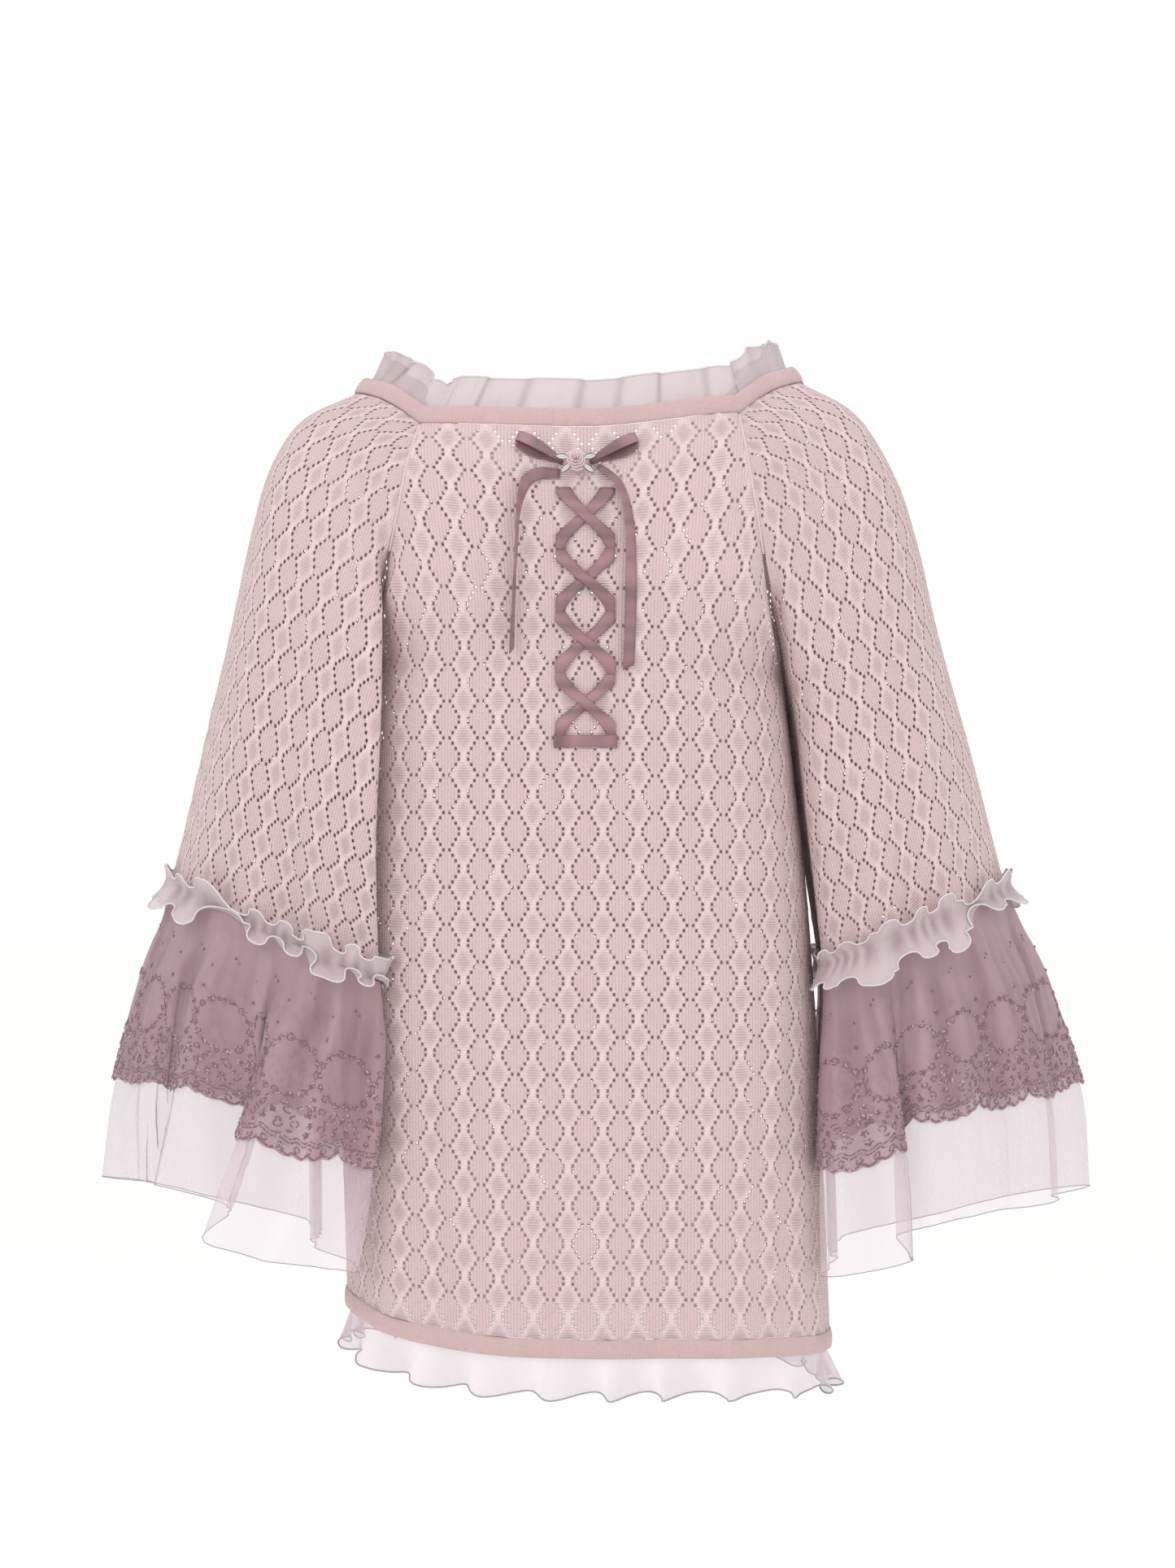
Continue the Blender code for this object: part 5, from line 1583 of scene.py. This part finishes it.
def lace_knit_material(colour):
    """Fine wool and cotton knit: matt, a little fluffy, with rows of purl ridges beside plain stitches. Its colour has
    painted shade in the low places of the stitches and round the eyelets, and a painted highlight on the raised
    ridges.
    """
    cloth = Cloth("fine_wool_lace_knit", 0.88, sheen=0.25, sheen_roughness=0.6)
    u, v = cloth.flat()
    rows = v * KNIT_ROWS
    leg = abs((u * REPEAT_STITCHES + 0.5).maths("FRACT") - 0.5)
    plain = (rows + leg * 0.9).waves(1.0) * 0.22 + 0.5 - (leg * 2.0) ** 4.0 * 0.35
    purl = rows.waves(1.0) * 0.5 + 0.5
    height = plain + cloth.painted("purl") * (purl - plain) + cloth.noise(0.9, 2.0) * 0.35
    # Painted shade: the low places of the stitch relief are darker.
    tone = cloth.mix(height * -0.58 + 0.58, colour, toned(colour, 0.58, 0.48, 0.49))
    # Painted highlight: the raised ridge stitches beside the eyelets are paler.
    tone = cloth.mix(cloth.painted("ridge"), tone, toned(colour, 1.20, 1.26, 1.26))
    # Painted shade round the eyelets, so the holes look into a dark, shaded inside of the garment.
    tone = cloth.mix(cloth.painted("rim") ** 1.7 * 0.95, tone, toned(colour, 0.30, 0.20, 0.22))
    tone = cloth.mix(cloth.noise(14.0) * 0.55, tone, toned(colour, 0.94, 0.97, 0.98))
    return cloth.done(tone, height, 0.9)


def rib_knit_material(colour):
    """Fine double rib, pressed flat: smooth and matt, with ribs about 1.2 mm apart across the band."""
    cloth = Cloth("fine_wool_rib_knit", 0.86, sheen=0.25, sheen_roughness=0.6)
    u, v = cloth.flat()
    rib = u.waves(RIB_PITCH)
    height = rib * 0.4 + v.waves(RIB_ROW) * 0.15 + cloth.noise(0.9, 2.0)
    # Painted shade in the hollows between the ribs, with a tone that varies at random.
    tone = cloth.mix(rib * -0.25 + cloth.noise(11.0) * 0.5, colour, toned(colour, 0.80, 0.72, 0.72))
    return cloth.done(tone, height, 0.45, 0.8)


def chiffon_material(name, colour, alpha):
    """Sheer polyester chiffon: a fine open weave that lets light through, with soft crinkles."""
    cloth = Cloth(name, 0.7, sheen=0.35, sheen_roughness=0.35, alpha=alpha)
    u, v = cloth.flat()
    height = (u.waves(CHIFFON_THREAD) + v.waves(CHIFFON_THREAD)) * 0.12 + cloth.noise(6.0)
    # Painted shade: darker where the fold value is high, in the troughs of the gathers and the gaps of the pleats; the
    # noise is a tone that varies at random.
    share = cloth.noise(18.0) * 0.15 + cloth.painted("fold") * 0.6
    return cloth.done(cloth.mix(share, colour, toned(colour, 0.46, 0.38, 0.40)), height, 0.3, 0.6)


def lace_material(colour):
    """Mauve net under embroidery: sheer, with a fine mesh laid slantwise."""
    cloth = Cloth("mauve_embroidery_net", 0.75, sheen=0.3, alpha=LACE_ALPHA)
    u, v = cloth.flat()
    net = ((u + v).waves(NET_MESH) + (u - v).waves(NET_MESH)) * 0.25
    # Painted shade: darker where the fold value is high, in the troughs of the gathers; the noise and the net are the
    # cloth's own tone and mesh.
    share = cloth.noise(20.0) * 0.35 + net * 0.15 + cloth.painted("fold") * 0.9
    tone = cloth.mix(share, colour, toned(colour, 0.52, 0.44, 0.46))
    return cloth.done(tone, net + cloth.noise(5.0), 0.3, 0.7)


def thread_material(name, colour, roughness=0.6, pitch=0.8, glint=0.0):
    """Twisted thread, raised: fine ridges across its length and, where it is glossy, pale glints of light painted into
    its colour.
    """
    cloth = Cloth(name, roughness, sheen=0.2, specular=0.4)
    grain = cloth.noise(pitch, 1.0)
    tone = cloth.mix(grain, colour, toned(colour, 0.8))
    if glint:
        # Painted highlight: pale glints of light scattered on the thread.
        pale = [0.35 * c + s for c, s in zip(colour, (0.42, 0.33, 0.35))]
        tone = cloth.mix((cloth.noise(1.6, 0.0) > 0.62) * glint, tone, pale)
    return cloth.done(tone, grain, 0.25, 0.7)


def satin_material(colour):
    """Polyester satin ribbon with long floats along it: glossy, with bands of highlight and shade painted into its
    colour along the ribbon, and painted shade where it tucks under.
    """
    cloth = Cloth("polyester_satin_ribbon", 0.3, sheen=0.1, specular=0.7, anisotropic=0.5)
    u, v = cloth.flat()
    height = u.waves(SATIN_THREAD) * 0.15 + cloth.noise(9.0) * 0.5
    up = cloth.add("ShaderNodeSeparateXYZ", {0: cloth.add("ShaderNodeTexCoord", out="Object")}, 2)
    along = cloth.add("ShaderNodeCombineXYZ", {"X": v * (1 / SATIN_BAND), "Z": up * 12.0})
    bands = cloth.add("ShaderNodeTexNoise", {"Vector": along, "Scale": 1.0, "Detail": 0.0})
    # Painted highlight and shade: light and dark bands along the ribbon.
    tone = cloth.mix((bands - 0.5) * 2.2 + 0.5, toned(colour, 1.22), toned(colour, 0.62))
    # Painted shade where the fold value is high: at the ribbons' tucked ends and under the bow's loops.
    tone = cloth.mix(cloth.painted("fold") * 0.8, tone, toned(colour, 0.42, 0.36, 0.38))
    return cloth.done(tone, height, 0.25, 0.5)


def petal_material(colour, edge):
    """Soft crepe for the rose, with paler blotches at random and painted shade towards the foot of each petal, so that
    its high places are paler.
    """
    cloth = Cloth("crepe_rose_cloth", 0.7, sheen=0.3)
    grain = cloth.noise(1.2)
    tone = cloth.mix(grain * 0.5, colour, edge)
    # Painted shade where the fold value is high, deep among the petals.
    tone = cloth.mix(cloth.painted("fold") * 0.9, tone, toned(colour, 0.36, 0.30, 0.31))
    return cloth.done(tone, grain, 0.2, 0.5)


def leaf_material(colour, edge):
    """Silvery leaf cloth with a dark stitched edge and a dark vein."""
    cloth = Cloth("silver_leaf_cloth", 0.5, sheen=0.2)
    side = abs(cloth.flat()[0] * 2.0 - 1.0)
    dark = (side > 0.62).maths("MAXIMUM", side.maths("LESS_THAN", 0.12) * 0.6) * 0.85
    return cloth.done(cloth.mix(dark, colour, edge), cloth.noise(0.8), 0.15, 0.5)


def floor_material(colour):
    """Smooth pale paint for the studio floor, with a faint unevenness."""
    cloth = Cloth("matt_white_floor_paint", 0.9, specular=0.2)
    return cloth.done(cloth.mix(cloth.noise(400.0), colour, toned(colour, 1.01)))


def srgb(code):
    """Linear colour from a hex code."""
    values = np.array([int(code[i : i + 2], 16) / 255 for i in (0, 2, 4)])
    return tuple(float(c) for c in np.where(values <= 0.04045, values / 12.92, ((values + 0.055) / 1.055) ** 2.4))


MATERIALS = {
    "knit": lambda tones: lace_knit_material(tones.knit),
    "seam": lambda tones: thread_material("fine_wool_seam", tones.knit, 0.85, 1.2),
    "rib": lambda tones: rib_knit_material(tones.rib),
    "grey": lambda tones: chiffon_material("grey_polyester_chiffon", tones.grey_chiffon, GREY_ALPHA),
    "pale": lambda tones: chiffon_material("pale_polyester_chiffon", tones.pale_chiffon, PALE_ALPHA),
    "sheer": lambda tones: chiffon_material("sheer_polyester_chiffon", tones.pale_chiffon, SHEER_ALPHA),
    "net": lambda tones: lace_material(tones.mauve_net),
    "silk": lambda tones: thread_material("rayon_embroidery_thread", tones.mauve_thread, 0.5, 0.7, 0.8),
    "edge": lambda tones: thread_material("polyester_edge_thread", tones.edge_thread),
    "rolled": lambda tones: thread_material("rolled_chiffon_hem", toned(tones.pale_chiffon, 0.50, 0.56, 0.56)),
    "satin": lambda tones: satin_material(tones.satin),
    "rose": lambda tones: petal_material(tones.rose, srgb("E0CFD0")),
    "leaf": lambda tones: leaf_material(tones.leaf, tones.dark_edge),
}


def tint(name, code, description):
    """A colour that the panel can change."""
    return FloatVectorProperty(
        name=name, description=description, subtype="COLOR", size=3, min=0.0, max=1.0, default=srgb(code)
    )


def number(name, description, default, **settings):
    """A number that the panel can change."""
    return FloatProperty(name=name, description=description, default=default, **settings)


METRES = {"subtype": "DISTANCE", "unit": "LENGTH"}


class CapeKnit(bpy.types.PropertyGroup):
    """Sizes of the lace stitch."""

    body_stitch: number("Body stitch", "Width of a stitch on the body, in millimetres", 2.11, min=1.5, max=4.0)
    sleeve_stitch: number("Sleeve stitch", "Width of a stitch on the sleeves, in millimetres", 1.90, min=1.5, max=4.0)
    sleeve_lean: number("Sleeve lean", "How far the sleeve's rows drop towards the body", 0.30, min=0.0, max=0.6)
    yoke_widening: number(
        "Yoke widening", "How much wider the stitches lie at the neck", 0.15, subtype="FACTOR", min=0.0, max=0.5
    )


class CapeTrim(bpy.types.PropertyGroup):
    """Sizes of the trimmings."""

    edge_cord: number(
        "Edge cord", "Radius of the cord sewn along the chiffon edges", 0.0006, min=0.0002, max=0.002, **METRES
    )
    hem_cord: number(
        "Rolled hem", "Radius of the rolled hem of the long chiffon", 0.00035, min=0.0001, max=0.002, **METRES
    )
    cord_sides: IntProperty(name="Cord sides", description="Sides of each fine cord", default=5, min=4, max=12)


class CapeColours(bpy.types.PropertyGroup):
    """Colours of the cloths."""

    knit: tint("Lace knit", "DABFBF", "Fine knit of the body and sleeves")
    rib: tint("Rib knit", "C9ADAC", "Neck and hem bands")
    grey_chiffon: tint("Grey chiffon", "CABBBD", "Neck ruffle and cuff headings")
    pale_chiffon: tint("Pale chiffon", "E3D3DA", "Hem ruffle and long flounces")
    mauve_net: tint("Mauve net", "BC9CA3", "Ground of the lace flounces")
    mauve_thread: tint("Mauve thread", "806068", "Raised embroidery")
    edge_thread: tint("Edge thread", "D9D0D2", "Cord along the ruffle edges")
    satin: tint("Satin", "8C666C", "Lacing and bow")
    rose: tint("Rose", "C9B0B2", "Rose petals")
    leaf: tint("Leaf", "C9C4C4", "Leaves beside the rose")
    dark_edge: tint("Leaf edge", "5E4A4E", "Edge of the leaves")


class CapeStage(bpy.types.PropertyGroup):
    """Studio light and floor."""

    key_power: number("Key light", "Power of the large light on the back, in watts", 27.0, min=0.0)
    fill_power: number("Fill light", "Power of the fill light, in watts", 12.0, min=0.0)
    top_power: number("Top light", "Power of the light from above, in watts", 9.0, min=0.0)
    sky: number("Room light", "Strength of the even light of the room", 1.0, min=0.0)
    floor_level: number("Floor level", "Height of the floor, in metres", -1.25, **METRES)
    lens: number("Lens", "Focal length, in millimetres", 117.65, min=20.0)


SHARED = {}


def shared(key, make):
    """Something made once and used by several operators."""
    if key not in SHARED:
        SHARED[key] = make()
    return SHARED[key]


def material(key):
    """One of the cloth materials, in the colours that the panel holds."""
    return shared(key, lambda: MATERIALS[key](bpy.context.scene.cape_colours))


def grids():
    """The four knit pieces in the solids' own cells, which the trimmings follow."""
    return shared(
        "grids",
        lambda: {
            name: surface(name, np.linspace(0, 1, across + 1), np.linspace(0, 1, down + 1) ** crowding)
            for name, (across, down, crowding) in CELLS.items()
        },
    )


def ground():
    """The cloth that the lacing, the bow and the rose lie on."""
    places, alongs = (np.linspace(0, 1, count) for count in GROUND_POINTS)
    return shared("ground", lambda: Ground(surface("back_panel", places, alongs)))


def hang(name, kind, grid, folds, cloth, sew, edge, width=max):
    """A gathered piece in the place of its solid, with what is sewn to it; its flat width is worked out but not kept.
    """
    piece, height = closed_skin(name + kind, grid, folds)
    finished(piece, material(cloth), name)
    sewn = finished(sew(), material(edge))
    wide = width([length_of(row) for row in grid])
    wide * MM


class CAPE_OT_knit_panels(bpy.types.Operator):
    """Knit the back and front panels in lace with open eyelets"""

    bl_idname = "cape.knit_panels"
    bl_label = "Body panels"

    def execute(self, context):
        sizes = context.scene.cape_knit
        for name in ("back_panel", "front_panel"):
            knit_sheet(name, material("knit"), sizes.body_stitch, sizes.yoke_widening, 0.0)
        return {"FINISHED"}


class CAPE_OT_knit_sleeves(bpy.types.Operator):
    """Knit the two bell sleeves and the raglan seams"""

    bl_idname = "cape.knit_sleeves"
    bl_label = "Sleeves"

    def execute(self, context):
        sizes = context.scene.cape_knit
        for name in ("sleeve_left", "sleeve_right"):
            knit_sheet(name, material("knit"), sizes.sleeve_stitch, 0.0, sizes.sleeve_lean)
        places = np.linspace(*RAGLAN_CORD)
        lines = [np.array([raglan_point(*seam, place, 0.0) for place in places]) for seam in RAGLAN]
        finished(thread("raglan_seams", lines, SEAM_CORD, 8, closed=False), material("seam"))
        return {"FINISHED"}


class CAPE_OT_rib_bands(bpy.types.Operator):
    """Make the double rib bands of the neck and the hem"""

    bl_idname = "cape.rib_bands"
    bl_label = "Rib bands"

    def execute(self, context):
        for which in ("neck", "hem"):
            rib_band(which, material("rib"))
        return {"FINISHED"}


class CAPE_OT_ruffles(bpy.types.Operator):
    """Gather the chiffon ruffles of the neck and the hem"""

    bl_idname = "cape.ruffles"
    bl_label = "Neck and hem ruffles"

    def execute(self, context):
        trim = context.scene.cape_trim
        for which, rows, waves, seed, extra, pleats, cloth, edge in RUFFLES:
            grid, folds = gathered(which, rows, waves, seed, extra, pleats)
            name = which + "_ruffle"

            def cord():
                return thread(name + "_cord", [grid[-1]], trim.edge_cord / MM, trim.cord_sides, closed=True)

            hang(name, "_chiffon", grid, folds, cloth, cord, edge)
        return {"FINISHED"}


class CAPE_OT_cuffs(bpy.types.Operator):
    """Hang the lace and chiffon flounces from the cuffs and sew the gathered headings on"""

    bl_idname = "cape.cuffs"
    bl_label = "Cuff flounces"

    def execute(self, context):
        trim = context.scene.cape_trim
        for side, seed in (("left", 0.3), ("right", 2.1)):
            sleeve = grids()["sleeve_" + side]

            name = "lace_flounce_" + side
            alongs = np.linspace(LACE_ROWS[0], LACE_ROWS[-1], FLOUNCE_FINE_ROWS)
            grid, facing, folds = fine_flounce(sleeve, side, alongs, LACE_INSET, FLOUNCE_POINTS, GATHERS)
            grid = scalloped(grid)

            def border():
                return embroider(name + "_embroidery", Tube(grid, facing))

            hang(name, "_net", grid, folds, "net", border, "silk")

            name = "chiffon_flounce_" + side
            alongs = np.linspace(CHIFFON_ROWS[0], CHIFFON_ROWS[-1], FLOUNCE_FINE_ROWS)
            grid, _, folds = fine_flounce(sleeve, side, alongs, CHIFFON_INSET, FLOUNCE_POINTS, GATHERS)

            def hem():
                return thread(name + "_hem", [grid[-1]], trim.hem_cord / MM, 5, closed=True)

            hang(name, "_sheer", grid, 0.5 * folds, "sheer", hem, "rolled")

            name = "heading_" + side
            coarse, _, _ = fine_flounce(sleeve, side, np.array(LACE_ROWS), LACE_INSET, FLOUNCE_CELLS, ())
            grid, folds = fine_heading(sleeve, coarse, seed)

            def cords():
                return thread(name + "_cords", grid[[0, -1]], trim.edge_cord / MM, trim.cord_sides, closed=True)

            hang(name, "_chiffon", grid, folds, "grey", cords, "edge", np.mean)
        return {"FINISHED"}


class CAPE_OT_lacing(bpy.types.Operator):
    """Lay the crossed satin lacing down the back"""

    bl_idname = "cape.lacing"
    bl_label = "Back lacing"

    def execute(self, context):
        fine_lacing(ground(), material("satin"))
        return {"FINISHED"}


class CAPE_OT_bow(bpy.types.Operator):
    """Tie the satin bow with its two tails"""

    bl_idname = "cape.bow"
    bl_label = "Bow"

    def execute(self, context):
        fine_bow(ground(), material("satin"))
        return {"FINISHED"}


class CAPE_OT_rose(bpy.types.Operator):
    """Roll the cloth rose and set its leaves"""

    bl_idname = "cape.rose"
    bl_label = "Rose and leaves"

    def execute(self, context):
        fine_rose(ground(), material("rose"), material("leaf"))
        return {"FINISHED"}


def area_light(name, place, target, size, power, colour):
    """A large soft light that faces a place."""
    light = bpy.data.lights.new(name, "AREA")
    light.shape = "SQUARE"
    light.size = size
    light.energy = power
    light.color = colour
    thing = bpy.data.objects.new(name, light)
    thing.location = place
    thing.rotation_mode = "QUATERNION"
    aim = Vector(target) - Vector(place)
    thing.rotation_quaternion = aim.to_track_quat("-Z", "Y")
    bpy.context.collection.objects.link(thing)


class CAPE_OT_stage(bpy.types.Operator):
    """Set the camera, the soft studio light and the pale floor"""

    bl_idname = "cape.stage"
    bl_label = "Stage"

    def execute(self, context):
        stage = context.scene.cape_stage
        bpy.ops.object.select_all(action="DESELECT")
        bpy.ops.mesh.primitive_circle_add(
            vertices=96, radius=FLOOR_REACH, fill_type="NGON", location=(0, 0, stage.floor_level)
        )
        floor = context.active_object
        floor.name = "studio_floor"
        bpy.ops.object.transform_apply(location=True, rotation=True, scale=True)
        dress(floor, floor_material(srgb("FEFEFD")))

        world = bpy.data.worlds.new("pale_room")
        context.scene.world = world
        world.use_nodes = True
        sky = world.node_tree.nodes["Background"]
        sky.inputs["Color"].default_value = (1.0, 1.0, 1.0, 1.0)
        sky.inputs["Strength"].default_value = stage.sky
        area_light("key_light", (1.7, 2.6, 1.3), (0.0, 0.0, -0.3), 1.8, stage.key_power, (1.0, 0.99, 0.98))
        area_light("fill_light", (-2.2, 2.2, 0.4), (0.0, 0.0, -0.3), 2.2, stage.fill_power, (1.0, 1.0, 1.0))
        area_light("top_light", (0.0, 0.3, 2.0), (0.0, 0.0, -0.2), 1.6, stage.top_power, (1.0, 1.0, 1.0))

        camera = bpy.data.cameras.new("camera")
        camera.lens = stage.lens
        camera.sensor_width = 36.0
        camera.clip_end = 100.0
        thing = bpy.data.objects.new("camera", camera)
        thing.location = CAMERA_PLACE
        thing.rotation_euler = (np.pi / 2, 0.0, np.pi)
        context.collection.objects.link(thing)
        context.scene.camera = thing
        context.scene.view_settings.view_transform = "Standard"
        return {"FINISHED"}


class CAPE_PT_panel(bpy.types.Panel):
    """The cape's pieces in the order that they are made"""

    bl_label = "Knit cape"
    bl_idname = "CAPE_PT_panel"
    bl_space_type = "VIEW_3D"
    bl_region_type = "UI"
    bl_category = "Knit cape"

    def draw(self, context):
        layout = self.layout
        for group in ("cape_knit", "cape_trim", "cape_colours", "cape_stage"):
            box = layout.box()
            settings = getattr(context.scene, group)
            for key in settings.__annotations__:
                box.prop(settings, key)
        for operator in OPERATORS:
            layout.operator(operator.bl_idname)


GROUPS = {"cape_knit": CapeKnit, "cape_trim": CapeTrim, "cape_colours": CapeColours, "cape_stage": CapeStage}
OPERATORS = (
    CAPE_OT_knit_panels,
    CAPE_OT_knit_sleeves,
    CAPE_OT_rib_bands,
    CAPE_OT_ruffles,
    CAPE_OT_cuffs,
    CAPE_OT_lacing,
    CAPE_OT_bow,
    CAPE_OT_rose,
    CAPE_OT_stage,
)


def register():
    for kind in (*GROUPS.values(), *OPERATORS, CAPE_PT_panel):
        bpy.utils.register_class(kind)
    for key, group in GROUPS.items():
        setattr(bpy.types.Scene, key, PointerProperty(type=group))


def unregister():
    for key in GROUPS:
        delattr(bpy.types.Scene, key)
    for kind in reversed((*GROUPS.values(), *OPERATORS, CAPE_PT_panel)):
        bpy.utils.unregister_class(kind)


def main():
    """Register the cape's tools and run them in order."""
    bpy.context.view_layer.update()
    register()
    for operator in OPERATORS:
        group, action = operator.bl_idname.split(".")
        getattr(getattr(bpy.ops, group), action)()


if __name__ == "__main__":
    main()
